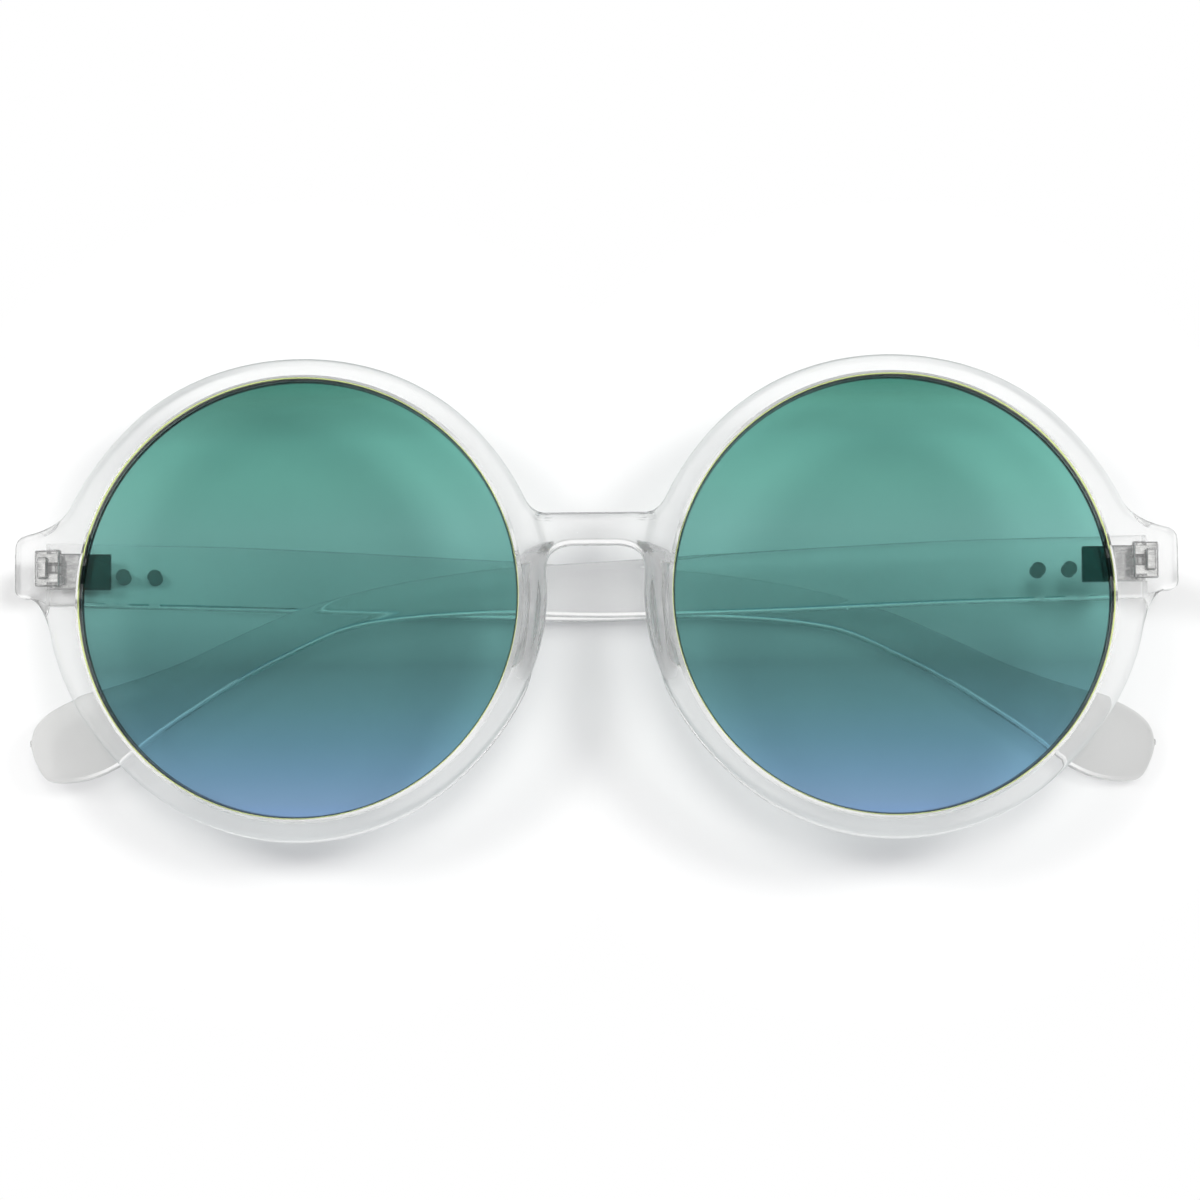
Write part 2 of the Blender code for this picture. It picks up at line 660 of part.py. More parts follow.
def build_pin(tag, side, along, axis, temple):
    outer = -PIVOT_TO_OUTER_FACE
    low = outer + PIN_SINK
    high = low + PIN_LENGTH
    y = pin_height(along)
    points, faces = skin(disc_rows(PIN_RADIUS, low, high, along, y, side))
    add_object("temple_pin_" + tag, points, faces, axis, "pin_metal")
    points, faces = skin(disc_rows(PIN_RADIUS + PIN_GAP, outer - CUT_OVERRUN, high + PIN_GAP,
                                   along, y, side))
    combine(temple, add_object("pin_hole_" + tag, points, faces, axis), "DIFFERENCE")


def settle(root):
    """Lay the folded glasses on z = 0 with the middle of their box over the origin."""
    bpy.context.view_layer.update()
    depsgraph = bpy.context.evaluated_depsgraph_get()
    corners = []
    for thing in bpy.data.objects:
        if thing.type == "MESH" and not thing.hide_render:
            ready = thing.evaluated_get(depsgraph)
            corners += [ready.matrix_world @ vertex.co for vertex in ready.data.vertices]
    low = [min(corner[k] for corner in corners) for k in range(3)]
    high = [max(corner[k] for corner in corners) for k in range(3)]
    root.location -= Vector(((low[0] + high[0]) / 2, (low[1] + high[1]) / 2, low[2]))
    bpy.context.view_layer.update()


def main():
    clear_scene()
    root = add_empty("glasses", None, (0, 0, 0), -LEFT_FOLD)
    front = build_front(root)
    for tag, side, fold in (("left", -1, LEFT_FOLD), ("right", 1, RIGHT_FOLD)):
        build_lens("lens_" + tag, side, root)
        x, y, z = bend(HINGE_X, 0, -RIM_DEPTH - HINGE_SETBACK)
        pivot = (side * x, y, z)
        hinge_frame = add_empty("hinge_frame_" + tag, root, pivot, side * BEND_ANGLE)
        build_front_hinge(tag, side, hinge_frame, front)
        build_screw(tag, hinge_frame)
        temple_axis = add_empty("temple_axis_" + tag, root, pivot, -side * fold)
        build_temple(tag, side, temple_axis)
    settle(root)


main()
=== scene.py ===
import math

import bmesh
import bpy
import numpy as np
from mathutils import Matrix, Vector


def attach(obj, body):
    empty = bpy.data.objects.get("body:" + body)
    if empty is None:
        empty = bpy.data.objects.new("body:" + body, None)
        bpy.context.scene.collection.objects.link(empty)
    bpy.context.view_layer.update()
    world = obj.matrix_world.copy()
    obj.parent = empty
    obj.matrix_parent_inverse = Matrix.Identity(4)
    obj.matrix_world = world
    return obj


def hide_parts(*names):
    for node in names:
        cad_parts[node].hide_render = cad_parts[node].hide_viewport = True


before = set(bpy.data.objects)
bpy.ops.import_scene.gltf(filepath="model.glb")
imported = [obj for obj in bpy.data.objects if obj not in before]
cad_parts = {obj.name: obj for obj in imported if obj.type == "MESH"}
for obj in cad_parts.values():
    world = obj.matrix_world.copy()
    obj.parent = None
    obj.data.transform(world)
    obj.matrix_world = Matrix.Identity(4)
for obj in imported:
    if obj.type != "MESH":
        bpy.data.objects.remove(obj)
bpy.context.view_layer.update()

print("frame loaded:", len(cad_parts), "nodes")


# small helpers shared by all pieces

# one socket of a node tree, so that maths on it reads as maths
class Wire:
    def __init__(self, tree, socket=None):
        self.tree, self.socket = tree, socket

    def plug(self, target, value):
        if isinstance(value, Wire):
            self.tree.links.new(value.socket, target)
        elif target.type == "RGBA" and len(value) == 3:
            target.default_value = (*value, 1)
        else:
            target.default_value = value

    # any node: its type, settings that are set first, values or links by socket name or place
    def node(self, kind, settings=None, sockets=None, out=0):
        node = self.tree.nodes.new(kind)
        for key, value in (settings or {}).items():
            if key == "stops":
                self.setStops(node, value)
            elif key == "points":
                self.setPoints(node, value)
            else:
                setattr(node, key, value)
        for key, value in (sockets or {}).items():
            self.plug(node.inputs[key], value)
        return Wire(self.tree, node.outputs[out]) if len(node.outputs) else node

    def setStops(self, node, stops):
        ramp = node.color_ramp
        while len(ramp.elements) > 1:
            ramp.elements.remove(ramp.elements[-1])
        for k, (place, colour) in enumerate(stops):
            stop = ramp.elements[0] if k == 0 else ramp.elements.new(place)
            stop.position = place
            stop.color = (*colour, 1)

    def setPoints(self, node, points):
        curve = node.mapping.curves[0]
        for k, (x, y) in enumerate(points):
            point = curve.points[k] if k < 2 else curve.points.new(x, y)
            point.location = (x, y)
            point.handle_type = "VECTOR"
        node.mapping.update()

    def maths(self, operation, a, b=None, c=None):
        values = {0: a}
        if b is not None:
            values[1] = b
        if c is not None:
            values[2] = c
        return self.node("ShaderNodeMath", {"operation": operation}, values)

    def __add__(self, other):
        return self.maths("ADD", self, other)

    def __radd__(self, other):
        return self.maths("ADD", other, self)

    def __sub__(self, other):
        return self.maths("SUBTRACT", self, other)

    def __rsub__(self, other):
        return self.maths("SUBTRACT", other, self)

    def __mul__(self, other):
        return self.maths("MULTIPLY", self, other)

    def __rmul__(self, other):
        return self.maths("MULTIPLY", other, self)

    def __truediv__(self, other):
        return self.maths("DIVIDE", self, other)

    def __rtruediv__(self, other):
        return self.maths("DIVIDE", other, self)

    def __pow__(self, other):
        return self.maths("POWER", self, other)

    # this value between two limits, as 0 to 1 or between two others
    def stretched(self, low, high, toLow=0.0, toHigh=1.0, kind="LINEAR"):
        return self.node("ShaderNodeMapRange", {"interpolation_type": kind}, {
            "Value": self, "From Min": low, "From Max": high, "To Min": toLow, "To Max": toHigh})

    def axis(self, letter):
        return self.node("ShaderNodeSeparateXYZ", {}, {0: self}, letter)

    def noise(self, scale, detail):
        return self.node("ShaderNodeTexNoise", {}, {"Vector": self, "Scale": scale, "Detail": detail})

    def attribute(self, name, out="Fac"):
        return self.node("ShaderNodeAttribute", {"attribute_name": name}, {}, out)

    # one colour laid over another by a share
    def laidOver(self, under, over, share):
        return self.node("ShaderNodeMix", {"data_type": "RGBA"}, {"Factor": share, 6: under, 7: over}, 2)

    # one shader in place of another by a share
    def blended(self, under, over, share):
        return self.node("ShaderNodeMixShader", {}, {0: share, 1: under, 2: over})


# a new material: its empty tree as a Wire, and the output node's sockets
def newMaterial(name):
    material = bpy.data.materials.new(name)
    material.use_nodes = True
    material.node_tree.nodes.clear()
    start = Wire(material.node_tree)
    output = material.node_tree.nodes.new("ShaderNodeOutputMaterial")
    return material, start, output


# a new object in the scene
def linked(name, data):
    thing = bpy.data.objects.new(name, data)
    bpy.context.collection.objects.link(thing)
    return thing


# round faces smoothed, with edges steeper than an angle in degrees left crisp
def smoothed(mesh, crisp=35.0):
    mesh.shade_smooth()
    mesh.set_sharp_from_angle(angle=math.radians(crisp))


# a piece's mesh with its modifiers applied
def finishedMesh(piece):
    bpy.context.view_layer.update()
    ready = piece.evaluated_get(bpy.context.evaluated_depsgraph_get())
    return bpy.data.meshes.new_from_object(ready)


# a mesh piece from points and faces, at the origin, with its normals outwards
def newPiece(name, points, faces, merge=1e-7):
    mesh = bpy.data.meshes.new(name)
    mesh.from_pydata([tuple(point) for point in points], [], [tuple(face) for face in faces])
    work = bmesh.new()
    work.from_mesh(mesh)
    bmesh.ops.remove_doubles(work, verts=work.verts, dist=merge)
    bmesh.ops.recalc_face_normals(work, faces=work.faces)
    if work.calc_volume(signed=True) < 0:
        bmesh.ops.reverse_faces(work, faces=work.faces)
    work.to_mesh(mesh)
    work.free()
    smoothed(mesh)
    return linked(name, mesh)


# faces between rows of points, every row a closed loop of the same count
def loopFaces(rows, count):
    return [(row * count + k, row * count + (k + 1) % count,
             (row + 1) * count + (k + 1) % count, (row + 1) * count + k)
            for row in range(rows - 1) for k in range(count)]


# the same with both ends closed
def closedLoops(rows, count):
    ends = [tuple(range(count)), tuple(range((rows - 1) * count, rows * count))]
    return loopFaces(rows, count) + ends


# a half and its mirror image across the middle plane
def withMirror(points, faces):
    count = len(points)
    other = points * np.array([-1, 1, 1])
    turnedFaces = [tuple(count + k for k in face[::-1]) for face in faces]
    return np.concatenate([points, other]), list(faces) + turnedFaces


def placed(points, matrix):
    m = np.array(matrix)
    return points @ m[:3, :3].T + m[:3, 3]


def mix(a, b, share):
    return a + (b - a) * share


# 0 to 1 with a soft start and end
def eased(share):
    return share * share * (3 - 2 * share)


# angles of a quarter turn, both ends included
def quarterTurn(steps):
    return [math.pi / 2 * k / steps for k in range(steps + 1)]


# put a finished piece on its body, in place of its CAD node, with its material
def seat(piece, material, slot, body, *nodes):
    piece.data.materials.clear()
    piece.data.materials.append(material)
    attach(piece, body)
    if nodes:
        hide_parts(*nodes)
    return piece


# store one number for each point, or each face, of a piece, for its material to read
def mark(piece, name, values, domain="POINT"):
    data = piece.data.attributes.new(name, "FLOAT", domain).data
    data.foreach_set("value", np.asarray(values, dtype=float))


def normalsOf(parts):
    return np.array([part.normal for part in parts]).T


# a piece's points in the axes of a matrix
def pointsOf(piece, matrix):
    return placed(np.array([v.co for v in piece.data.vertices]), matrix.inverted())


# cut closed shapes out of a piece, and drop them; their upright walls are marked for painted shade
def carve(piece, cutters):
    mark(piece, "pocketShade", [0] * len(piece.data.polygons), "FACE")
    for cutter in cutters:
        modifier = piece.modifiers.new("cut", "BOOLEAN")
        modifier.operation, modifier.solver, modifier.object = "DIFFERENCE", "EXACT", cutter
    mesh = finishedMesh(piece)
    piece.modifiers.clear()
    piece.data = mesh
    smoothed(mesh)
    for cutter in cutters:
        bpy.data.objects.remove(cutter, do_unlink=True)
    return piece


# outline of a box with rounded corners, from its lowest corner
def roundBox(low, high, radius, steps=3):
    points = []
    left, right, bottom, top = low[0] + radius, high[0] - radius, low[1] + radius, high[1] - radius
    for quarter, (x, z) in enumerate(((right, top), (left, top), (left, bottom), (right, bottom))):
        for step in range(steps + 1):
            a = math.pi / 2 * (quarter + step / steps)
            points.append((x + radius * math.cos(a), z + radius * math.sin(a)))
    return points


# an outline of (x, z) pushed along y between two heights, with rounded ends
def pushed(outline, low, high, bevel, steps=3):
    count = len(outline)
    middle = np.array(outline)
    along = np.roll(middle, -1, 0) - np.roll(middle, 1, 0)
    inward = np.stack([-along[:, 1], along[:, 0]], 1) / np.linalg.norm(along, axis=1)[:, None]
    ends = [(bevel * (1 - math.sin(a)), bevel * (1 - math.cos(a))) for a in quarterTurn(steps)]
    rows = [(inset, low + down) for inset, down in ends]
    rows += [(inset, high - down) for inset, down in reversed(ends)]
    points = [(x, y, z) for inset, y in rows for x, z in middle + inward * inset]
    return np.array(points), closedLoops(len(rows), count)


def joined(parts):
    points, faces, start = [], [], 0
    for partPoints, partFaces in parts:
        points.append(np.array(partPoints))
        faces += [tuple(start + k for k in face) for face in partFaces]
        start += len(partPoints)
    return np.concatenate(points), faces


# where the glasses lie: the front is rolled, and each temple is folded from it

layout = {
    "rootPlace": (-0.000297, 0.000175, 0.018664),
    "leftFold": 2.7, "rightFold": -1.2,      # degrees from the plane of the front
}


# matrix of a place, turned by an angle about the height
def turned(x, y, z, degrees):
    return Matrix.Translation((x, y, z)) @ Matrix.Rotation(math.radians(degrees), 4, "Y")


rootMatrix = turned(*layout["rootPlace"], -layout["leftFold"])

# camera

cameraSettings = {
    "lens": 140.2, "distance": 0.600,
    "lookFrom": (0.010, -0.12, 1.0),         # in the front's own axes
    "target": (0.0, 0.0, -0.0022), "roll": 0.382,
    "aside": 0.000548, "down": 0.000718,     # where the target lies off the picture's middle
    "sensor": 36, "clip": (0.01, 20),
}


def placeCamera(settings):
    turn = rootMatrix.to_3x3()
    back = (turn @ Vector(settings["lookFrom"])).normalized()
    right = (-back).cross(turn @ Vector((0, 1, 0))).normalized()
    up = right.cross(-back)
    roll = math.radians(settings["roll"])
    rightTurned = right * math.cos(roll) - up * math.sin(roll)
    upTurned = up * math.cos(roll) + right * math.sin(roll)
    target = rootMatrix @ Vector(settings["target"])
    target = target + rightTurned * settings["aside"] - upTurned * settings["down"]
    camera = linked("camera", bpy.data.cameras.new("camera"))
    axes = Matrix((rightTurned, upTurned, back)).transposed().to_4x4()
    camera.matrix_world = Matrix.Translation(target + back * settings["distance"]) @ axes
    camera.data.lens = settings["lens"]
    camera.data.sensor_width = settings["sensor"]
    camera.data.clip_start, camera.data.clip_end = settings["clip"]
    bpy.context.scene.camera = camera


placeCamera(cameraSettings)
bpy.context.scene.view_settings.view_transform = "Standard"
print("camera placed")

# light and floor

lightSettings = {
    # the world's strength as light, and as the background that is seen
    "skyStrength": 0.30, "skySeen": 1.0,
    # mirrors see a dim patch overhead: heights of a ray's direction where it starts and ends, and strength
    "overheadStart": 0.62, "overheadEnd": 0.86, "overheadSeen": 0.06,
    # azimuth from +Y and elevation in degrees, width in metres, watts; all stand at one distance
    "lamps": {"topLamp": (4.0, 80.0, 0.45, 9.4), "leftLamp": (-66.0, 52.0, 0.45, 8.6),
              "rightLamp": (66.0, 52.0, 0.45, 11.4)},
    "lampDistance": 1.6,
    "floorColour": (0.86, 0.86, 0.86), "floorHalf": 0.6,
    # half width and height of the solid floor, and how much farther it has faded away
    "floorSolid": (0.125, 0.085), "floorFade": 1.5,
    # the camera sees the floor only where shadows fall, from above and within this reach of a lens's
    # middle, so that opened temples show below it
    "floorSeen": (0.044, 0.056), "floorSpread": 0.0385,
}


def placeLights(settings):
    for name, (azimuth, elevation, width, watts) in settings["lamps"].items():
        turn, rise = math.radians(azimuth), math.radians(elevation)
        level = math.cos(rise)
        direction = Vector((math.sin(turn) * level, math.cos(turn) * level, math.sin(rise)))
        lamp = linked(name, bpy.data.lights.new(name, "AREA"))
        lamp.data.shape = "DISK"
        lamp.data.size = width
        lamp.data.energy = watts
        lamp.visible_glossy = lamp.visible_transmission = False   # no copy of a lamp in lens or plastic
        lamp.location = direction * settings["lampDistance"]
        lamp.rotation_mode = "QUATERNION"
        lamp.rotation_quaternion = direction.to_track_quat("Z", "Y")
    world = bpy.data.worlds.new("studio")
    bpy.context.scene.world = world
    world.use_nodes = True
    world.node_tree.nodes.clear()
    start = Wire(world.node_tree)
    camera, glossy, through, depth = (
        start.node("ShaderNodeLightPath", {}, {}, kind)
        for kind in ("Is Camera Ray", "Is Glossy Ray", "Is Transmission Ray", "Diffuse Depth"))
    seen = start.maths("MAXIMUM", camera, through)
    height = start.node("ShaderNodeTexCoord", {}, {}, "Generated").axis("Z")
    overhead = height.stretched(settings["overheadStart"], settings["overheadEnd"],
                                settings["skySeen"], settings["overheadSeen"])
    plain = settings["skyStrength"]
    extra = seen * (settings["skySeen"] - plain) + glossy * (1 - seen) * (overhead - plain)
    strength = extra * start.maths("LESS_THAN", depth, 0.5) + plain      # 0.5: before any matt bounce
    sky = start.node("ShaderNodeBackground", {}, {"Color": (1, 1, 1, 1), "Strength": strength})
    start.node("ShaderNodeOutputWorld", {}, {"Surface": sky})


def placeFloor(settings):
    half = settings["floorHalf"]
    mesh = bpy.data.meshes.new("floor")
    corners = [(x * half, y * half, 0) for x, y in ((-1, -1), (1, -1), (1, 1), (-1, 1))]
    mesh.from_pydata(corners, [], [(0, 1, 2, 3)])
    floor = linked("floor", mesh)
    material, start, output = newMaterial("paleFloor")
    place = start.node("ShaderNodeTexCoord", {}, {}, "Object")
    wide, high = settings["floorSolid"]
    scaled = start.node("ShaderNodeMapping", {}, {"Vector": place, "Scale": (1 / wide, 1 / high, 1)})
    reach = start.node("ShaderNodeVectorMath", {"operation": "LENGTH"}, {0: scaled}, "Value")
    solid = reach.stretched(1.0, settings["floorFade"], 1.0, 0.0, "SMOOTHSTEP")
    y = place.axis("Y")
    aside = start.maths("ABSOLUTE", place.axis("X")) - settings["floorSpread"]
    hidden = ((aside * aside + y * y) ** 0.5).stretched(*settings["floorSeen"], kind="SMOOTHSTEP")
    hidden = start.maths("MAXIMUM", hidden, start.node("ShaderNodeNewGeometry", {}, {}, "Backfacing"))
    solid = solid * (1 - hidden * start.node("ShaderNodeLightPath", {}, {}, "Is Camera Ray"))
    matt = start.node("ShaderNodeBsdfDiffuse", {}, {"Color": settings["floorColour"]})
    clear = start.node("ShaderNodeBsdfTransparent")
    start.plug(output.inputs["Surface"], start.blended(clear, matt, solid))
    mesh.materials.append(material)


placeLights(lightSettings)
placeFloor(lightSettings)
print("light and floor placed")

# sizes of temples and hinges, which the pockets in the plastic follow

templeSizes = {
    "length": 0.1440, "height": 0.0082, "drop": 0.0003, "thickness": 0.0032, "waist": 0.0029,
    "pivotToFace": 0.0048, "edgeRound": 0.0009, "endGap": 0.00015, "openSplay": 3.0,
    "hingeInset": 0.0044, "hingeHeight": 0.0046, "hingeSetback": 0.0015,
    # along, upper edge, lower edge, as shares of length and height
    "outline": ((0.0, 0.5, -0.5), (0.166, 0.44, -0.573), (0.332, 0.293, -0.683),
                (0.481, 0.146, -0.744), (0.567, 0.049, -0.695), (0.629, -0.085, -0.732),
                (0.68, -0.244, -0.817), (0.719, -0.409, -0.963), (0.761, -0.634, -1.293),
                (0.809, -1.0, -1.732), (0.858, -1.405, -2.275), (0.892, -1.635, -2.69),
                (0.916, -1.775, -3.035), (0.941, -1.905, -3.255), (0.965, -2.055, -3.335),
                (0.985, -2.255, -3.295), (0.996, -2.465, -3.0), (1.0, -2.65, -2.8)),
    "outlineSteps": 9, "roundSteps": 5, "flatRows": (0.06, 0.5, 0.94),
    # the inner face's lower edge as shares of the rounding: a bevel between two soft edges
    "chamfer": ((0, 1), (-0.46, 0.93), (-0.76, 0.67), (-0.88, 0.50), (-0.97, 0.26), (-1, 0)),
}

hingeSizes = {
    "barrelRadius": 0.00125, "barrelBore": 0.0006, "armHalf": 0.00095, "armStart": 2.4,
    "middleBarrel": 0.0011, "outerBarrel": 0.0012, "gap": 0.00015,
    "plateThickness": 0.0008, "plateHeight": 0.0045, "frontReach": 0.0020, "templeReach": 0.0072,
    "templeStart": 0.0007, "anchorDepth": 0.0012, "frontAnchor": 0.0011, "templeAnchor": 0.0015,
    "anchorHeight": 0.0026, "anchorMargin": 0.0004,
    "screwRadius": 0.00055, "headRadius": 0.0010, "headHeight": 0.0006, "tail": 0.0006,
    "slotWidth": 0.00028, "slotDepth": 0.00025,
    "pinRadius": 0.0009, "pinLength": 0.0020, "pinBevel": 0.000312, "pinSink": 0.0001,
    "pinStart": 0.0088, "pinSpacing": 0.0041,
    "bevel": 0.00012, "seatGap": 0.0001, "turns": 40, "crisp": 30,
    # pockets in the plastic: rounding, how far cutters reach past the surface, and where a face is a wall
    "pocketBevel": 0.0002, "overrun": 0.0005, "wallLimit": 0.5,
}


# middle of the right hinge's barrels, before the front is rolled
def pivotPlace():
    s, f = templeSizes, frontSizes
    return bendFront([(f["halfWidth"] - s["hingeInset"], 0, -f["rimDepth"] - s["hingeSetback"])])[0]


# matrices of one side: the hinge's own axes on the front, and the folded temple's
def hingeMatrix(side):
    x, y, z = pivotPlace()
    return rootMatrix @ turned(side * x, y, z, side * frontSizes["bendAngle"])


def templeMatrix(side):
    x, y, z = pivotPlace()
    fold = layout["leftFold"] if side < 0 else layout["rightFold"]
    return rootMatrix @ turned(side * x, y, z, -side * fold)


# front plate and its foot as (low, high) corners in the hinge's axes; x runs inwards
def frontPlate():
    h, bed, middle = hingeSizes, templeSizes["hingeSetback"], templeSizes["hingeHeight"]
    floor = bed + h["plateThickness"]
    start = -h["frontReach"] + h["anchorMargin"]
    plate = ((-h["frontReach"], middle - h["plateHeight"] / 2, bed),
             (-h["armHalf"] / 2, middle + h["plateHeight"] / 2, floor))
    foot = ((start, middle - h["anchorHeight"] / 2, bed + h["plateThickness"] / 2),
            (start + h["frontAnchor"], middle + h["anchorHeight"] / 2, floor + h["anchorDepth"]))
    return plate, foot


# the same for a temple, in its own axes
def templePlate():
    h, middle = hingeSizes, templeSizes["hingeHeight"]
    face = templeSizes["thickness"] - templeSizes["pivotToFace"]
    floor = face - h["plateThickness"]
    end = h["templeReach"] - h["anchorMargin"]
    plate = ((-h["templeStart"], middle - h["plateHeight"] / 2, floor),
             (h["templeReach"], middle + h["plateHeight"] / 2, face))
    foot = ((end - h["templeAnchor"], middle - h["anchorHeight"] / 2, floor - h["anchorDepth"]),
            (end, middle + h["anchorHeight"] / 2, face - h["plateThickness"] / 2))
    return plate, foot


# a block between two corners with rounded edges, and room added at its low and high sides
def block(low, high, bevel, room=(0, 0, 0, 0, 0, 0)):
    outline = roundBox((low[0] - room[0], low[2] - room[2]), (high[0] + room[3], high[2] + room[5]), bevel)
    return pushed(outline, low[1] - room[1], high[1] + room[4], bevel)


def cutter(part, side, matrix):
    points, faces = sided(part, side)
    tool = newPiece("cutter", placed(points, matrix), faces)
    # a cutter's upright walls carry the mark for painted shade into the pocket
    upright = np.abs(normalsOf(tool.data.polygons)[2]) < hingeSizes["wallLimit"]
    mark(tool, "pocketShade", upright, "FACE")
    return tool


# a part drawn with x inwards, turned for its side
def sided(part, side):
    points, faces = part
    return points * np.array([-side, 1, 1]), faces


# front: one body of clear plastic with both rims, the bridge, the end pieces and the nose pads

frontSizes = {
    "lensSpread": 0.0385, "openingRadius": 0.0285, "halfWidth": 0.0385 + 0.0285 + 0.0085,
    # rim widths round a lens, from the outer side upwards
    "rimWidths": (0.0042, 0.0032, 0.00265, 0.0031, 0.0037, 0.0028, 0.0030, 0.0029),
    "rimDepth": 0.0040, "bridgeDepth": 0.0034, "ringReach": 0.0031, "ringStep": 0.0015,
    "edgeRound": 0.0009, "lipRound": 0.00018,
    "bridgeEnd": 0.0125, "bridgeTop": 0.0105, "bridgeArch": 0.00635, "topFlat": 0.0064, "archFlat": 0.0026,
    "endTop": 0.0092, "endBottom": 0.0006, "endCorner": 0.0013, "endSlope": 0.0010,
    "bendHalf": 0.0100, "bendAngle": 4.4,
    "grooveSetback": 0.0020, "grooveDepth": 0.0006, "grooveMouth": 0.0010, "grooveFloor": 0.0005,
    "roundSteps": 6, "lipSteps": 3, "rimSteps": 220, "curveSteps": 14, "cornerSteps": 10,
    "flatSteps": 6, "archSteps": 3, "middleSteps": 10,
    # partner angles on the lens opening for the bridge and the end piece, degrees
    "topMiddle": 161.4, "topBend": 160.2, "topLeave": 156, "endMeet": 23, "endUpper": 12, "endSide": 7.5,
    "endStep": 2, "endLower": 4.5, "endLeave": -10, "noseMeet": -184,
    "archBend": -194.2, "archMiddle": -196.2,
    # rows of points on the wall's flat, and on both faces: over the bridge, its step and the ring
    "wallRows": (0.08, 0.5, 0.92), "bridgeRows": (0.72, 0.36), "stepRows": (1.0, 0.75, 0.5, 0.25, 0.0),
    "ringRows": (0.72, 0.42, 0.16, 0.05), "ringMost": 0.86, "stepMost": 0.93, "backEdge": 0.06,
    "mergeDistance": 2e-6,
}

# "middle" and "reach" are angles on the lens opening; the two powers shape the shoulders and the crest
padSizes = {"height": 0.0042, "splay": 0.35, "crest": 2.7, "shoulder": 2.2, "middle": -175, "reach": 18.5}


def rimWidthAt(angle):
    widths = frontSizes["rimWidths"]
    place = angle / 360 * len(widths) % len(widths)
    first = int(place)
    return mix(widths[first], widths[(first + 1) % len(widths)], eased(place - first))


def rimPoint(angle):
    reach = frontSizes["openingRadius"] + rimWidthAt(angle)
    a = math.radians(angle)
    return Vector((frontSizes["lensSpread"] + reach * math.cos(a), reach * math.sin(a)))


# where the rim's tangent at a point meets a level line
def crossing(point, angle, level):
    a = math.radians(angle)
    return Vector((point.x - math.tan(a) * (level - point.y), level))


# points after the start of a straight line
def straightRun(start, end, steps):
    return [mix(start, end, (k + 1) / steps) for k in range(steps)]


# points after the start of a curve that leaves and meets its two legs
def easedCurve(start, control, end, steps):
    points = []
    for k in range(1, steps + 1):
        t = k / steps
        points.append(mix(mix(start, control, t), mix(control, end, t), t))
    return points


# right half of the outline, from the bridge's top round the rim to the arch over the nose
def frontOutline():
    s = frontSizes
    points, angles = [Vector((0, s["bridgeTop"]))], [s["topMiddle"]]

    def run(newPoints, endAngle):
        start = angles[-1]
        angles.extend(mix(start, endAngle, (k + 1) / len(newPoints)) for k in range(len(newPoints)))
        points.extend(newPoints)

    def rimRun(start, end):
        steps = max(2, round(abs(start - end) / 360 * s["rimSteps"]))
        run([rimPoint(mix(start, end, (k + 1) / steps)) for k in range(steps)], end)

    curve, corner, flat = s["curveSteps"], s["cornerSteps"], s["flatSteps"]
    topEnd = Vector((s["topFlat"], s["bridgeTop"]))
    run(straightRun(points[0], topEnd, flat), s["topBend"])
    rimStart = rimPoint(s["topLeave"])
    run(easedCurve(topEnd, crossing(rimStart, s["topLeave"], s["bridgeTop"]), rimStart, curve), s["topLeave"])
    rimRun(s["topLeave"], s["endMeet"])
    width, slope = s["halfWidth"], s["endSlope"]
    cornerPoint = Vector((width, s["endTop"] - slope))
    upper = Vector((width - s["endCorner"], s["endTop"] - slope / 2))
    flareTurn = crossing(points[-1], s["endMeet"], s["endTop"] + slope / 2)
    sideTop = cornerPoint - Vector((0, s["endCorner"]))
    lowerCorner = Vector((width, s["endBottom"]))
    sideBottom = lowerCorner + Vector((0, s["endCorner"]))
    lower = Vector((width - s["endCorner"], s["endBottom"]))
    rimEnd = rimPoint(s["endLeave"])
    lowerTurn = crossing(rimEnd, s["endLeave"], s["endBottom"])
    run(easedCurve(points[-1], flareTurn, upper, curve), s["endUpper"])
    run(easedCurve(upper, cornerPoint, sideTop, corner), s["endSide"])
    run(straightRun(sideTop, sideBottom, flat), s["endSide"] - s["endStep"])
    run(easedCurve(sideBottom, lowerCorner, lower, corner), s["endLower"])
    run(easedCurve(lower, lowerTurn, rimEnd, curve), s["endLeave"])
    rimRun(s["endLeave"], s["noseMeet"])
    archEnd = Vector((s["archFlat"], s["bridgeArch"]))
    archTurn = crossing(points[-1], s["noseMeet"], s["bridgeArch"])
    run(easedCurve(points[-1], archTurn, archEnd, curve), s["archBend"])
    run(straightRun(archEnd, Vector((0, s["bridgeArch"])), s["archSteps"]), s["archMiddle"])
    return points, angles


# the flat front bent about the height: an arc at the bridge, straight beyond
def bendFront(points):
    s = frontSizes
    flat = np.array(points, float)
    angle = math.radians(s["bendAngle"])
    radius = s["bendHalf"] / angle
    x, y, z = flat.T
    turn = np.minimum(x / s["bendHalf"], 1) * angle
    rest = np.maximum(x - s["bendHalf"], 0)
    across = radius * np.sin(turn) + rest * np.cos(turn) + z * np.sin(turn)
    depth = -radius * (1 - np.cos(turn)) - rest * np.sin(turn) + z * np.cos(turn)
    return np.stack([across, y, depth], 1)


# how high the nose pad stands at an angle of the lens opening, 0 to 1
def padShare(angle):
    away = min(abs(angle - padSizes["middle"]) / padSizes["reach"], 1)
    return (1 - away ** padSizes["shoulder"]) ** 2


# the bridge is thinner than the rims: its back steps up outside the ring round the lens
def backStep(place):
    s = frontSizes
    reach = math.hypot(place[0] - s["lensSpread"], place[1]) - s["openingRadius"] - s["ringReach"]
    near = min(max((s["bridgeEnd"] - place[0]) / s["ringStep"], 0), 1)
    share = min(max(reach / s["ringStep"], 0), 1)
    return (s["rimDepth"] - s["bridgeDepth"]) * near * eased(share)


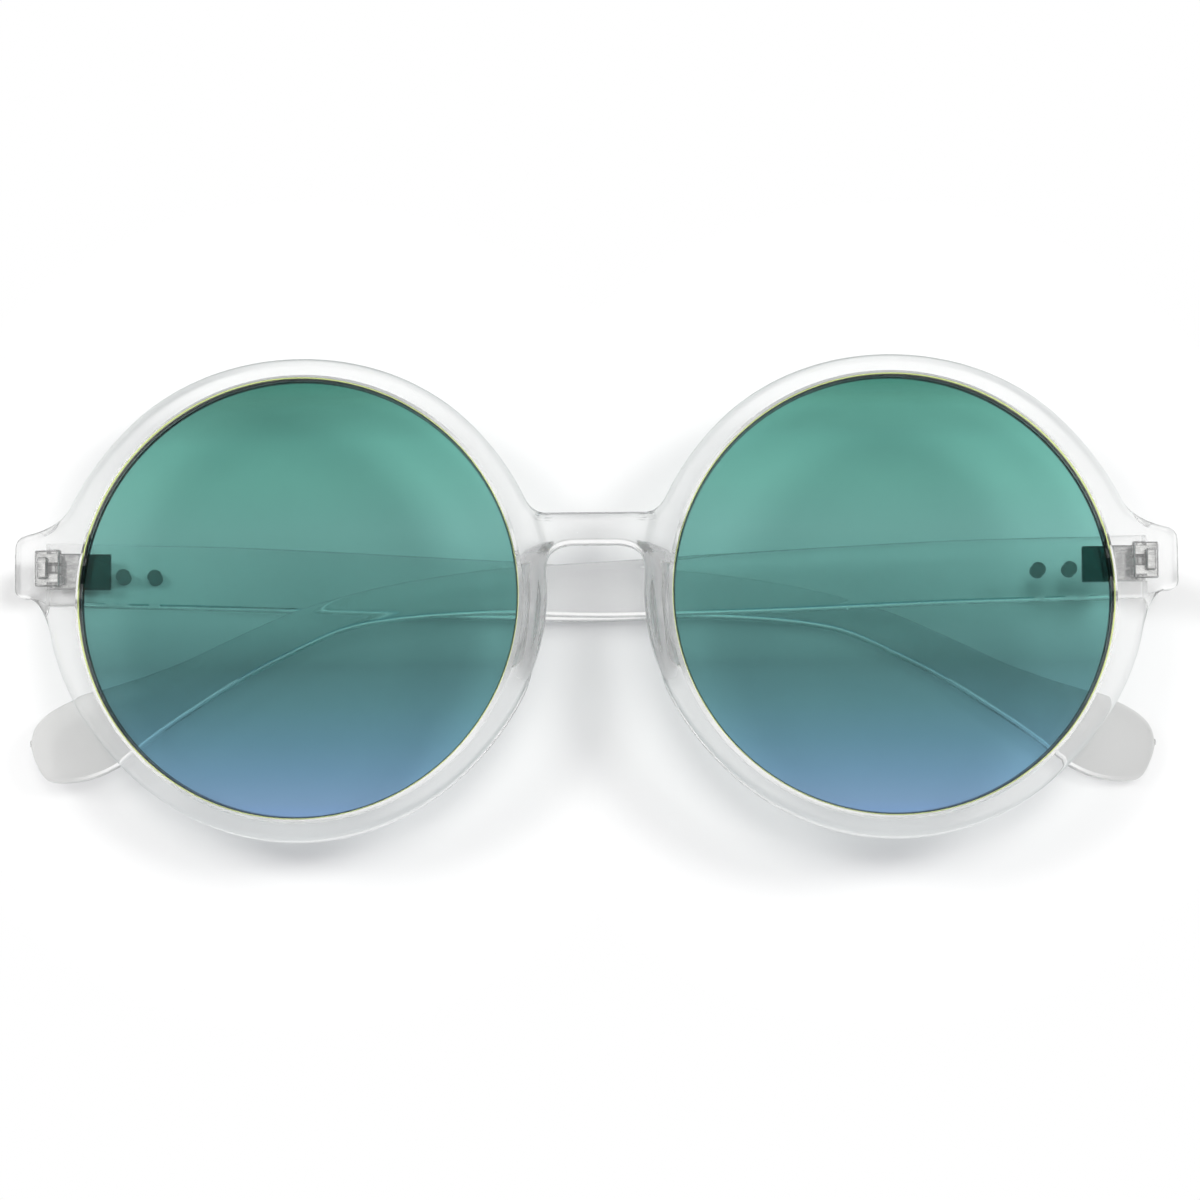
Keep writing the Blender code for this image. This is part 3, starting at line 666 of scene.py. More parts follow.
# inset and depth of the rounded outer wall, front to back
def wallProfile():
    s = frontSizes
    r, depth = s["edgeRound"], s["rimDepth"]
    front = [(r * (1 - math.sin(a)), r * (1 - math.cos(a))) for a in quarterTurn(s["roundSteps"])]
    flat = [(0.0, mix(r, depth - r, share)) for share in s["wallRows"]]
    return front + flat + [(inset, depth - down) for inset, down in reversed(front)]


# radius and depth of the lens opening with its groove and rounded lips, back to front
def openingProfile():
    s = frontSizes
    radius, depth, lip, back = s["openingRadius"], s["rimDepth"], s["lipRound"], s["grooveSetback"]
    lips = [(radius + lip * (1 - math.sin(a)), lip * (1 - math.cos(a))) for a in quarterTurn(s["lipSteps"])]
    floor = radius + s["grooveDepth"]
    groove = [(radius, back + s["grooveMouth"]), (floor, back + s["grooveFloor"]),
              (floor, back - s["grooveFloor"]), (radius, back - s["grooveMouth"])]
    return [(r, depth - down) for r, down in lips] + groove + list(reversed(lips))


# shares from the wall to the opening: over the bridge, over the step, and over the ring
def fillShares(length):
    s = frontSizes
    ring = min(s["ringMost"] * length, s["ringReach"])
    step = min(s["stepMost"] * length, ring + s["ringStep"])
    away = [mix(step, length, share) for share in s["bridgeRows"]]
    away += [mix(ring, step, share) for share in s["stepRows"]]
    away += [ring * share for share in s["ringRows"]]
    return [1 - reach / length for reach in away]


def openingPoints(angle):
    a = math.radians(angle)
    return [Vector((frontSizes["lensSpread"] + r * math.cos(a), r * math.sin(a), -depth))
            for r, depth in openingProfile()]


# one closed section: outer wall front to back, back face, opening back to front, front face
def frontSection(point, normal, angle):
    s, share = frontSizes, padShare(angle)
    padLift = padSizes["height"] * share
    wall = []
    for inset, depth in wallProfile():
        behind = min(max((depth - s["edgeRound"]) / (s["rimDepth"] - 2 * s["edgeRound"]), 0), 1)
        lift = padLift * behind
        place = point + normal * (inset + lift * padSizes["splay"])
        step = backStep(place) * (1 - share) * behind
        wall.append(Vector((place.x, place.y, step - depth - lift)))
    opening = openingPoints(angle)
    back, face = backFill(wall[-1], opening[0], padLift, 1 - share), frontFill(opening[-1], wall[0])
    return wall + back + opening + face


# points of the back face, raised for the pad and lowered for the bridge
def backFill(start, end, lift, free):
    fill = []
    for share in fillShares((start - end).length):
        place = mix(start, end, share)
        level = end.z + backStep(place) * free
        edge = min(share / frontSizes["backEdge"], 1)
        plain = mix(mix(start.z + lift, end.z, share), level, edge)
        place.z = plain - lift * (1 - share ** padSizes["crest"])
        fill.append(place)
    return fill


def frontFill(start, end):
    return [mix(start, end, 1 - share) for share in reversed(fillShares((start - end).length))]


def outlineNormals(points):
    normals = []
    for k in range(len(points)):
        along = points[min(k + 1, len(points) - 1)] - points[max(k - 1, 0)]
        normals.append(Vector((along.y, -along.x)).normalized())
    normals[0], normals[-1] = Vector((0, -1)), Vector((0, 1))
    return normals


def frontMesh():
    outline, angles = frontOutline()
    sections = [frontSection(p, n, a) for p, n, a in zip(outline, outlineNormals(outline), angles)]
    size, walls = len(sections[0]), len(wallProfile())
    flat = [place for section in sections for place in section]
    faces = loopFaces(len(sections), size)
    # close front and back along the middle plane, between the arch and the bridge's top
    lower, upper = sections[-1], sections[0]
    rows, steps = [(len(sections) - 1) * size], frontSizes["middleSteps"]
    for step in range(1, steps):
        share = step / steps
        opening = openingPoints(mix(angles[-1], angles[0] - 360, share))
        front = mix(lower[0], upper[0], share)
        back = mix(lower[walls - 1], upper[walls - 1], share)
        rows.append(len(flat))
        flat += [back] + backFill(back, opening[0], 0, 1) + opening + frontFill(opening[-1], front) + [front]
    rows.append(0)
    strips = [sectionRow(start, k in (0, steps), size, walls) for k, start in enumerate(rows)]
    for a, b in zip(strips[:-1], strips[1:]):
        faces += [(a[k], a[k + 1], b[k + 1], b[k]) for k in range(len(a) - 1)]
    return bendFront(flat), faces


# a middle row's points, from the back edge round the opening to the front edge
def sectionRow(start, isSection, size, walls):
    if isSection:
        return list(range(start + walls - 1, start + size)) + [start]
    return list(range(start, start + size - walls + 2))


# limits of the marks on the front: a point's or normal's measure where a mark starts and is full
edgeMarks = {
    "wallReach": 0.3, "wallStart": 2.0, "lipReach": 0.62, "lipDepth": 1.1,       # shares of the lip's round
    "padReach": 1.05, "padPower": 4,
    "outer": (0.0016, 0.0020), "above": (0.0, 0.010), "below": (0.006, 0.016),
    "rimFacing": (0.66, 0.91), "rimBright": 0.6, "archFacing": (0.3, 0.5), "topFacing": (0.6, 0.9),
}


# numbers between two limits, as 0 to 1
def between(values, low, high):
    return np.clip((values - low) / (high - low), 0, 1)


# mark the front by each point's own place: the opening's wall darkened as painted shade, the lip's painted
# yellow-green light fringe, the matt pads greyed with painted shade, the bright lower edges and the dark line
# of painted shade on the upper ones
def markEdges(piece):
    s, m = frontSizes, edgeMarks
    own = pointsOf(piece, rootMatrix)
    x, y, z = bendFront([(s["lensSpread"], 0, 0)])[0]
    angle = math.radians(s["bendAngle"])
    aside = np.abs(own[:, 0]) - x
    across = aside * math.cos(angle) - (own[:, 2] - z) * math.sin(angle)
    depth = -aside * math.sin(angle) - (own[:, 2] - z) * math.cos(angle)
    reach = np.hypot(across, own[:, 1])
    over, lip = reach - s["openingRadius"], s["lipRound"]
    wall = (over < lip * m["wallReach"]) & (depth < s["grooveSetback"]) & (depth > lip * m["wallStart"])
    edge = (over < lip * m["lipReach"]) & (depth < lip * m["lipDepth"]) & ~wall
    turn = np.degrees(np.arctan2(own[:, 1], across)) % 360 - 360
    away = between(np.abs(turn - padSizes["middle"]), 0, padSizes["reach"] * m["padReach"])
    behind = between(depth, 0, s["edgeRound"]) * between(over - lip, 0, s["edgeRound"])
    outer = between(over, *m["outer"])
    facing, up = normalsOf(piece.data.vertices)[1:]
    rimEdge = between(-facing, *m["rimFacing"]) * outer * between(-own[:, 1], *m["below"]) * m["rimBright"]
    onArch = (np.abs(own[:, 0]) < s["bridgeEnd"]) & (own[:, 1] > 0) & (up > 0)
    topEdge = between(facing, *m["topFacing"]) * outer * between(own[:, 1], *m["above"])
    mark(piece, "wallShade", wall)
    mark(piece, "lipShade", edge)
    mark(piece, "padShade", (1 - away ** m["padPower"]) * behind)
    mark(piece, "edgeBright", np.maximum(rimEdge, between(-facing, *m["archFacing"]) * onArch))
    mark(piece, "edgeLine", topEdge)
    mark(piece, "reach", np.abs(own[:, 0]))


def makeFront():
    points, faces = withMirror(*frontMesh())
    piece = newPiece("clearFront", placed(points, rootMatrix), faces, frontSizes["mergeDistance"])
    plate, foot = frontPlate()
    h, cutters = hingeSizes, []
    gap, bevel = h["seatGap"], h["pocketBevel"]
    inner = h["armHalf"] * 1.5 + gap             # from the plate's end past the arms
    for side in (-1, 1):
        matrix = hingeMatrix(side)
        pocket = block(*plate, bevel, (gap, gap, h["overrun"], inner, gap, gap))
        hole = block(*foot, bevel, (gap, gap, 0, gap, gap, gap))
        cutters += [cutter(part, side, matrix) for part in (pocket, hole)]
    markEdges(carve(piece, cutters))
    return piece


# clear plastic

# spans are (start, end) along a piece: from the middle plane on the front, from the pivot on a temple
plasticLook = {
    "colour": (0.975, 0.975, 0.975), "clearness": 0.92, "roughness": 0.010, "ior": 1.49,
    # painted shade: the first colour here darkens the opening's wall and the pocket walls, the last the upper
    # edges; the lip's yellow-green is a painted light fringe
    "wallColour": (0.03, 0.045, 0.045), "lipColour": (0.62, 0.78, 0.10), "lineColour": (0.30, 0.32, 0.32),
    # the pads are frosted by roughness and greyed by painted shade; the darker tip is painted shade too
    "padColour": (0.66, 0.67, 0.67), "padRoughness": 0.45, "tipColour": (0.86, 0.86, 0.85), "tip": (1, 2),
    "hazeColour": (0.93, 0.93, 0.925), "haze": 0.0, "hazeStart": (0, 1), "hazeEnd": (0, 1),
    "brightColour": (0.98, 0.98, 0.98), "bright": 0.9, "brightStart": -1.0, "brightEnd": (2, 1),
    "pocket": 0.8, "spots": (), "spotHalf": 0.0007,
    "absorbColour": (0.80, 0.815, 0.80), "absorbDensity": 12.0,
    "shadow": (0.69, 0.69, 0.70), "paleShadow": (0.97, 0.97, 0.97), "pale": (0.058, 0.066),
    # scale and detail of slow and fine noise, how much they vary the roughness, and the bump
    "cloud": (220.0, 3.0), "wipe": (2600.0, 2.0), "cloudRough": 0.02, "wipeRough": 0.01,
    "bumpStrength": 0.02, "bumpDistance": 0.0002,
    # roughness of the layers over the clear plastic, and how much it varies
    "hazeRough": (0.5, 0.2), "brightRough": (0.25, 0.1), "wallRough": (0.8, 0.2),
}
# a temple is milky along its middle, greyed at the tip with painted shade, and its bright line breaks at leaf
# and pins
templeLook = {
    **plasticLook, "shadow": (0.83, 0.83, 0.835), "paleShadow": (0.98, 0.98, 0.98), "pale": (0.035, 0.015),
    "brightStart": 0.0036, "brightEnd": (0.1390, 0.1330), "spots": (0.0072, 0.0088, 0.0129),
    "haze": 0.16, "hazeStart": (0.030, 0.060), "hazeEnd": (0.112, 0.095), "tip": (0.121, 0.135),
}


def makePlastic(name, look):
    material, start, output = newMaterial(name)
    place = start.node("ShaderNodeTexCoord", {}, {}, "Object")
    cloud, wipe = place.noise(*look["cloud"]) - 0.5, place.noise(*look["wipe"]) - 0.5
    reach = start.attribute("reach")
    pad, line, lip = (start.attribute(key) for key in ("padShade", "edgeLine", "lipShade"))
    colour = look["colour"]
    # the pads' grey, the darker tip and the upper edges' dark line are painted shade; the lip's yellow-green
    # is a painted light fringe
    shades = ((pad, "padColour"), (reach.stretched(*look["tip"]), "tipColour"), (line, "lineColour"),
              (lip, "lipColour"))
    for share, key in shades:
        colour = start.laidOver(colour, look[key], share)
    bump = start.node("ShaderNodeBump", {}, {
        "Height": cloud, "Strength": look["bumpStrength"], "Distance": look["bumpDistance"]})
    uneven = cloud * look["cloudRough"] + wipe * look["wipeRough"]
    shader = start.node("ShaderNodeBsdfPrincipled", {}, {
        "Base Color": colour, "Roughness": look["roughness"] + uneven + pad * look["padRoughness"],
        "IOR": look["ior"], "Transmission Weight": look["clearness"], "Normal": bump})
    haze = reach.stretched(*look["hazeStart"]) * reach.stretched(*look["hazeEnd"]) * look["haze"]
    bright = start.attribute("edgeBright") * look["bright"] * reach.stretched(*look["brightEnd"])
    bright = bright * start.maths("GREATER_THAN", reach, look["brightStart"])
    for spot in look["spots"]:
        away = start.maths("ABSOLUTE", reach - spot)
        bright = bright * start.maths("GREATER_THAN", away, look["spotHalf"])
    outside = 1 - start.node("ShaderNodeNewGeometry", {}, {}, "Backfacing")
    # painted shade: a dark matt layer on the opening's wall, seen from outside, and on the pocket walls
    wall = start.attribute("wallShade") * outside
    wall = start.maths("MAXIMUM", wall, start.attribute("pocketShade") * look["pocket"])
    layers = (("haze", haze, {}), ("bright", bright, {"Metallic": 1.0}),
              ("wall", wall, {"Specular IOR Level": 0.0}))
    for key, share, sockets in layers:
        middle, spread = look[key + "Rough"]
        layer = start.node("ShaderNodeBsdfPrincipled", {}, {
            "Base Color": look[key + "Colour"], "Roughness": middle + wipe * spread,
            "Normal": bump, **sockets})
        shader = start.blended(shader, layer, share)
    shade, paleShade = (start.node("ShaderNodeBsdfTransparent", {}, {"Color": look[key]})
                        for key in ("shadow", "paleShadow"))
    shade = start.blended(shade, paleShade, reach.stretched(*look["pale"]))
    shadowRay = start.node("ShaderNodeLightPath", {}, {}, "Is Shadow Ray")
    start.plug(output.inputs["Surface"], start.blended(shader, shade, shadowRay))
    start.plug(output.inputs["Volume"], start.node("ShaderNodeVolumeAbsorption", {}, {
        "Color": look["absorbColour"], "Density": look["absorbDensity"]}))
    return material


seat(makeFront(), makePlastic("frontPlastic", plasticLook), "clear_plastic", "front", "front_frame")
print("front made")

# lenses: a shallow dome with a bevelled edge, spun by a rule in Geometry Nodes

lensSizes = {
    "radius": 0.0289, "thickness": 0.0016, "curve": 0.1750, "bevel": 0.0006, "edge": 0.0006,
    "turns": 144, "rings": 33, "edgeShare": 0.06, "crisp": 25,
}


# a named input of a node tree; a modifier sets it by the identifier that comes back
def treeInput(tree, name, kind, value):
    socket = tree.interface.new_socket(name, in_out="INPUT", socket_type=kind)
    socket.default_value = value
    return socket.identifier


def lensTree(material, edgeShare):
    tree = bpy.data.node_groups.new("lensRule", "GeometryNodeTree")
    keys = {name: treeInput(tree, name, "NodeSocketFloat", 0.0)
            for name in ("Radius", "Thickness", "Curve", "Bevel", "Edge")}
    keys.update({name: treeInput(tree, name, "NodeSocketInt", 3) for name in ("Turns", "Rings")})
    tree.interface.new_socket("Geometry", in_out="OUTPUT", socket_type="NodeSocketGeometry")
    start = Wire(tree)
    given = tree.nodes.new("NodeGroupInput")
    size = {name: Wire(tree, given.outputs[name]) for name in keys}
    grid = start.node("GeometryNodeMeshGrid", {}, {
        "Size X": 1.0, "Size Y": 1.0, "Vertices X": size["Turns"], "Vertices Y": size["Rings"]})
    place = start.node("GeometryNodeInputPosition")
    angle = (place.axis("X") + 0.5) * math.tau
    along = place.axis("Y") * 2                    # -1 at the back's middle, 0 on the edge, 1 at the front's
    away = start.maths("ABSOLUTE", along)
    side = start.maths("SIGN", along)
    body = size["Radius"] - size["Bevel"]
    isEdge = start.maths("LESS_THAN", away, edgeShare)
    faceRadius = body * away.stretched(edgeShare, 1.0, 1.0, 0.0)
    squared = size["Curve"] * size["Curve"]
    dome = (squared - faceRadius * faceRadius) ** 0.5 - (squared - body * body) ** 0.5
    radius = isEdge * size["Radius"] + (1 - isEdge) * faceRadius
    height = isEdge * size["Edge"] * side * 0.5 + (1 - isEdge) * (dome + size["Thickness"] * side * 0.5)
    point = start.node("ShaderNodeCombineXYZ", {}, {
        "X": radius * start.maths("COSINE", angle), "Y": radius * start.maths("SINE", angle), "Z": height})
    moved = start.node("GeometryNodeSetPosition", {}, {"Geometry": grid, "Position": point})
    merged = start.node("GeometryNodeMergeByDistance", {}, {"Geometry": moved, "Distance": 1e-6})
    real = start.node("GeometryNodeRealizeInstances", {}, {"Geometry": merged})
    painted = start.node("GeometryNodeSetMaterial", {}, {"Geometry": real, "Material": material})
    start.node("NodeGroupOutput", {}, {"Geometry": painted})
    return tree, keys


# run a node tree on a base mesh and return its result as a plain piece
def grow(tree, keys, values, matrix, name, crisp, base=((), ())):
    baseMesh = bpy.data.meshes.new(name + "Rule")
    baseMesh.from_pydata([tuple(point) for point in base[0]], [], base[1])
    holder = linked(name + "Rule", baseMesh)
    modifier = holder.modifiers.new("rule", "NODES")
    modifier.node_group = tree
    for key, value in values.items():
        modifier[keys[key]] = value
    mesh = finishedMesh(holder)
    holder.modifiers.remove(modifier)
    bpy.data.objects.remove(holder, do_unlink=True)
    mesh.transform(matrix)
    work = bmesh.new()
    work.from_mesh(mesh)
    bmesh.ops.remove_doubles(work, verts=work.verts, dist=1e-7)      # corner points of blocks fall together
    bmesh.ops.recalc_face_normals(work, faces=work.faces)
    work.to_mesh(mesh)
    work.free()
    smoothed(mesh, crisp)
    mesh.name = name
    return linked(name, mesh)


lensLook = {
    # height over the lens centre, and what the tint lets through there, with painted shadow in the dip below
    # the middle and the dark top
    "tintsAndShade": ((-0.0290, (0.360, 0.570, 0.950)), (-0.0264, (0.330, 0.530, 0.785)),
              (-0.0225, (0.255, 0.470, 0.655)), (-0.0187, (0.206, 0.423, 0.534)),
              (-0.0140, (0.172, 0.380, 0.420)), (-0.0090, (0.141, 0.322, 0.322)),
              (-0.0020, (0.200, 0.470, 0.440)), (0.0083, (0.254, 0.576, 0.524)),
              (0.0148, (0.227, 0.580, 0.499)), (0.0200, (0.198, 0.548, 0.464)),
              (0.0244, (0.140, 0.415, 0.340)), (0.0261, (0.105, 0.320, 0.255)),
              (0.0285, (0.055, 0.230, 0.175))),
    # where the dark edge, a ring of painted shade, starts on the front and the back face, and the width of
    # its blend
    "edgeStart": (0.02818, 0.0280), "edgeFade": 0.0001, "edgeRingShade": (0.010, 0.016, 0.022),
    "roughness": 0.004, "ior": 1.50, "shadow": (0.74, 0.75, 0.75),
    # scale and detail of slow and fine noise, and how much they move the tint and the roughness
    "drift": (60.0, 2.0), "driftShare": 0.015, "wipe": (900.0, 3.0), "wipeRough": 0.006,
}


def makeLensTintAndShade(look):
    material, start, output = newMaterial("lensTint")
    place = start.node("ShaderNodeTexCoord", {}, {}, "Object")
    own = start.attribute("ownPlace", "Vector")
    x, y, z = (own.axis(letter) for letter in "XYZ")
    low, high = look["tintsAndShade"][0][0], look["tintsAndShade"][-1][0]
    share = (y - low) / (high - low) + (place.noise(*look["drift"]) - 0.5) * look["driftShare"]
    stops = [((height - low) / (high - low), tint) for height, tint in look["tintsAndShade"]]
    # the ramp holds the real tint and painted shadow: the dip below the middle and the dark top
    tint = start.node("ShaderNodeValToRGB", {"stops": stops}, {"Fac": share}, "Color")
    # a dark ring of painted shade at the lens edge, which starts further in on the back face
    front, back = look["edgeStart"]
    begin = start.maths("LESS_THAN", z, 0.0) * (back - front) + front
    edge = ((x * x + y * y) ** 0.5).stretched(begin, begin + look["edgeFade"])
    shader = start.node("ShaderNodeBsdfPrincipled", {}, {
        "Base Color": start.laidOver(tint, look["edgeRingShade"], edge), "IOR": look["ior"],
        "Roughness": look["roughness"] + (place.noise(*look["wipe"]) - 0.5) * look["wipeRough"],
        "Transmission Weight": 1.0})
    shade = start.node("ShaderNodeBsdfTransparent", {}, {"Color": look["shadow"]})
    shadowRay = start.node("ShaderNodeLightPath", {}, {}, "Is Shadow Ray")
    start.plug(output.inputs["Surface"], start.blended(shader, shade, shadowRay))
    return material


def makeLenses(sizes, material):
    tree, keys = lensTree(material, sizes["edgeShare"])
    s = frontSizes
    x, y, z = bendFront([(s["lensSpread"], 0, -s["grooveSetback"])])[0]
    values = {key: sizes[key.lower()] for key in keys}
    for tag, side in (("left", -1), ("right", 1)):
        matrix = rootMatrix @ turned(side * x, y, z, side * s["bendAngle"])
        piece = grow(tree, keys, values, matrix, "tintedLens" + tag.title(), sizes["crisp"])
        place = piece.data.attributes.new("ownPlace", "FLOAT_VECTOR", "POINT")
        place.data.foreach_set("vector", pointsOf(piece, matrix).ravel())
        seat(piece, material, "lens_tint", "front", "lens_" + tag)


makeLenses(lensSizes, makeLensTintAndShade(lensLook))
print("lenses made")

# temples: one profile that tapers, curves down and swells to the paddle end


# a soft curve through rows of numbers
def smoothRows(rows, steps):
    rows = np.array(rows, float)
    result = []
    for k in range(len(rows) - 1):
        before, start, end, after = rows[max(k - 1, 0)], rows[k], rows[k + 1], rows[min(k + 2, len(rows) - 1)]
        pull, leave = (end - before) / 2, (after - start) / 2
        for step in range(steps):
            t = step / steps
            result.append(start + t * (pull + t * (3 * (end - start) - 2 * pull - leave
                                                   + t * (2 * (start - end) + pull + leave))))
    result.append(rows[-1])
    return result


# section across a temple as (y, z): a box with rounded corners, one of them bevelled
def templeSection(low, high, back, front, radius, steps):
    corners = [(high - radius, front - radius), (low + radius, front - radius),
               (low + radius, back + radius), (high - radius, back + radius)]
    points = []
    for quarter, (y, z) in enumerate(corners):
        for step in range(steps + 1):
            angle = math.pi / 2 * (quarter + step / steps)
            aside, up = math.cos(angle), math.sin(angle)
            if quarter == 1:
                aside, up = templeSizes["chamfer"][step]
            points.append((y + radius * aside, z + radius * up))
        yNext, zNext = corners[(quarter + 1) % 4]
        angle = math.pi / 2 * (quarter + 1)
        for share in templeSizes["flatRows"]:
            points.append((mix(y, yNext, share) + radius * math.cos(angle),
                           mix(z, zNext, share) + radius * math.sin(angle)))
    return points


# a temple's sections from the hinge to the tip; the first follows the opened front's back
def templeLoops(s):
    loops = []
    slant = math.radians(s["openSplay"] + frontSizes["bendAngle"])
    for k, (share, upper, lower) in enumerate(smoothRows(s["outline"], s["outlineSteps"])):
        along = share * s["length"]
        middle = s["hingeHeight"] - s["drop"]
        high, low = middle + upper * s["height"], middle + lower * s["height"]
        left = max(s["length"] - along, 0)
        r = s["edgeRound"]
        inset = r - math.sqrt(r * r - (r - left) ** 2) if left < r else 0.0
        inset = min(inset, (high - low) / 4)
        radius = min(r, (high - low) / 2 - inset) - inset / 2
        back = -s["pivotToFace"]
        front = back + mix(s["thickness"], s["waist"], math.sin(math.pi * share) ** 2)
        section = templeSection(low + inset, high - inset, back + inset, front - inset, radius,
                                s["roundSteps"])
        setback = s["hingeSetback"] - s["endGap"]
        loops.append([((-z * math.sin(slant) - setback) / math.cos(slant) if k == 0 else along, y, z)
                      for y, z in section])
    return loops


# pocket of the hinge plate, its foot and the holes of the two pins
def templeCutters(side):
    plate, foot = templePlate()
    h, gap, bevel = hingeSizes, hingeSizes["seatGap"], hingeSizes["pocketBevel"]
    toEnd = templeSizes["pivotToFace"] - h["templeStart"]
    parts = [block(*plate, bevel, (toEnd, gap, gap, gap, gap, h["overrun"])),
             block(*foot, bevel, (gap, gap, gap, gap, gap, 0))]
    radius, outer = h["pinRadius"] + gap, -templeSizes["pivotToFace"]
    for k in range(2):
        along = h["pinStart"] + k * h["pinSpacing"]
        ring = [(along + radius * math.cos(a), pinHeight(along) + radius * math.sin(a), z)
                for z in (outer - h["overrun"], outer + h["pinSink"] + h["pinLength"] + gap)
                for a in (math.tau * step / h["turns"] for step in range(h["turns"]))]
        parts.append((np.array(ring), closedLoops(2, h["turns"])))
    return [cutter(part, side, templeMatrix(side)) for part in parts]


# middle of the temple's height at a distance from the pivot, near the hinge
def pinHeight(along):
    share, upper, lower = templeSizes["outline"][1]
    drop = (upper + lower) / 2 * templeSizes["height"]
    return templeSizes["hingeHeight"] - templeSizes["drop"] + drop * along / (share * templeSizes["length"])


# limits of the marks on a temple: how a face or point faces, and where the painted dark line starts
templeMarks = {"bevelFacing": (0.5, 0.82), "upperFacing": (0.75, 0.95), "lineStart": (0.0064, 0.0104)}


# the bevel on a temple's lower edge catches the light, its upper edge is a fine dark line of painted shade
def markTemple(piece, side):
    m = templeMarks
    reach = pointsOf(piece, templeMatrix(side))[:, 0] * -side
    facing = normalsOf(piece.data.vertices)[1]
    down, up = normalsOf(piece.data.polygons)[1:]
    least, most = m["bevelFacing"]
    mark(piece, "edgeBright", (-down > least) & (-down < most) & (up > 0), "FACE")
    mark(piece, "edgeLine", between(facing, *m["upperFacing"]) * between(reach, *m["lineStart"]))
    mark(piece, "reach", reach)


def makeTemples(sizes, material):
    loops = templeLoops(sizes)
    shape = (np.array([point for loop in loops for point in loop]), closedLoops(len(loops), len(loops[0])))
    for tag, side in (("left", -1), ("right", 1)):
        points, faces = sided(shape, side)
        piece = newPiece("clearTemple" + tag.title(), placed(points, templeMatrix(side)), faces)
        carve(piece, templeCutters(side))
        markTemple(piece, side)
        seat(piece, material, "clear_plastic", tag + "_temple", "temple_" + tag)


makeTemples(templeSizes, makePlastic("templePlastic", templeLook))
print("temples made")

# metal

# "streaks" is the brush marks' width as a share of their length, which runs along X
metalLook = {
    "colour": (0.96, 0.96, 0.94), "darkGrainAndShade": (0.24, 0.24, 0.24), "roughness": 0.27, "streaks": 0.12,
    # scale and detail of the grain and of its patches, and how much the grain varies the roughness
    "grain": (5200.0, 3.0), "patches": (900.0, 2.0), "roughSpread": 0.15,
    # what facing away adds to the grain's share of dark, painted shade on edges seen edge-on, and where that
    # share starts and is full
    "facing": 1.6, "darkSpan": (0.44, 0.82),
    "bumpStrength": 0.05, "bumpDistance": 0.00003,
}
# the temple leaf is polished; its far part is darker, a painted dark reflection
leafLook = {
    **metalLook, "colour": (0.56, 0.56, 0.55), "darkGrainAndShade": (0.16, 0.17, 0.17), "roughness": 0.16,
    "farDarkReflection": (0.048, 0.118, 0.114), "farSpan": (0.0030, 0.0034),
}
pinLook = {
    **metalLook, "colour": (0.068, 0.088, 0.086), "darkGrainAndShade": (0.010, 0.014, 0.014), "roughness": 0.20,
    "streaks": 1.0,
}


def makeMetal(name, look):
    material, start, output = newMaterial(name)
    place = start.node("ShaderNodeTexCoord", {}, {}, "Object")
    drawn = start.node("ShaderNodeMapping", {}, {"Vector": place, "Scale": (look["streaks"], 1.0, 1.0)})
    grain = drawn.noise(*look["grain"])
    patches = place.noise(*look["patches"])
    facing = start.node("ShaderNodeLayerWeight", {}, {"Blend": 0.5}, "Facing")
    # grain and patches vary the tone at random; facing away adds painted shade at the edges
    share = (patches * 0.5 + grain * 0.5 + facing * look["facing"]).stretched(*look["darkSpan"])
    colour = start.laidOver(look["colour"], look["darkGrainAndShade"], share)
    # painted dark reflection on the leaf's far part
    if "farDarkReflection" in look:
        far = start.attribute("reach").stretched(*look["farSpan"])
        colour = start.laidOver(colour, look["farDarkReflection"], far)
    bump = start.node("ShaderNodeBump", {}, {
        "Height": grain, "Strength": look["bumpStrength"], "Distance": look["bumpDistance"]})
    shader = start.node("ShaderNodeBsdfPrincipled", {}, {
        "Base Color": colour, "Metallic": 1.0, "Normal": bump,
        "Roughness": look["roughness"] + (grain - 0.5) * look["roughSpread"]})
    start.plug(output.inputs["Surface"], shader)
    return material


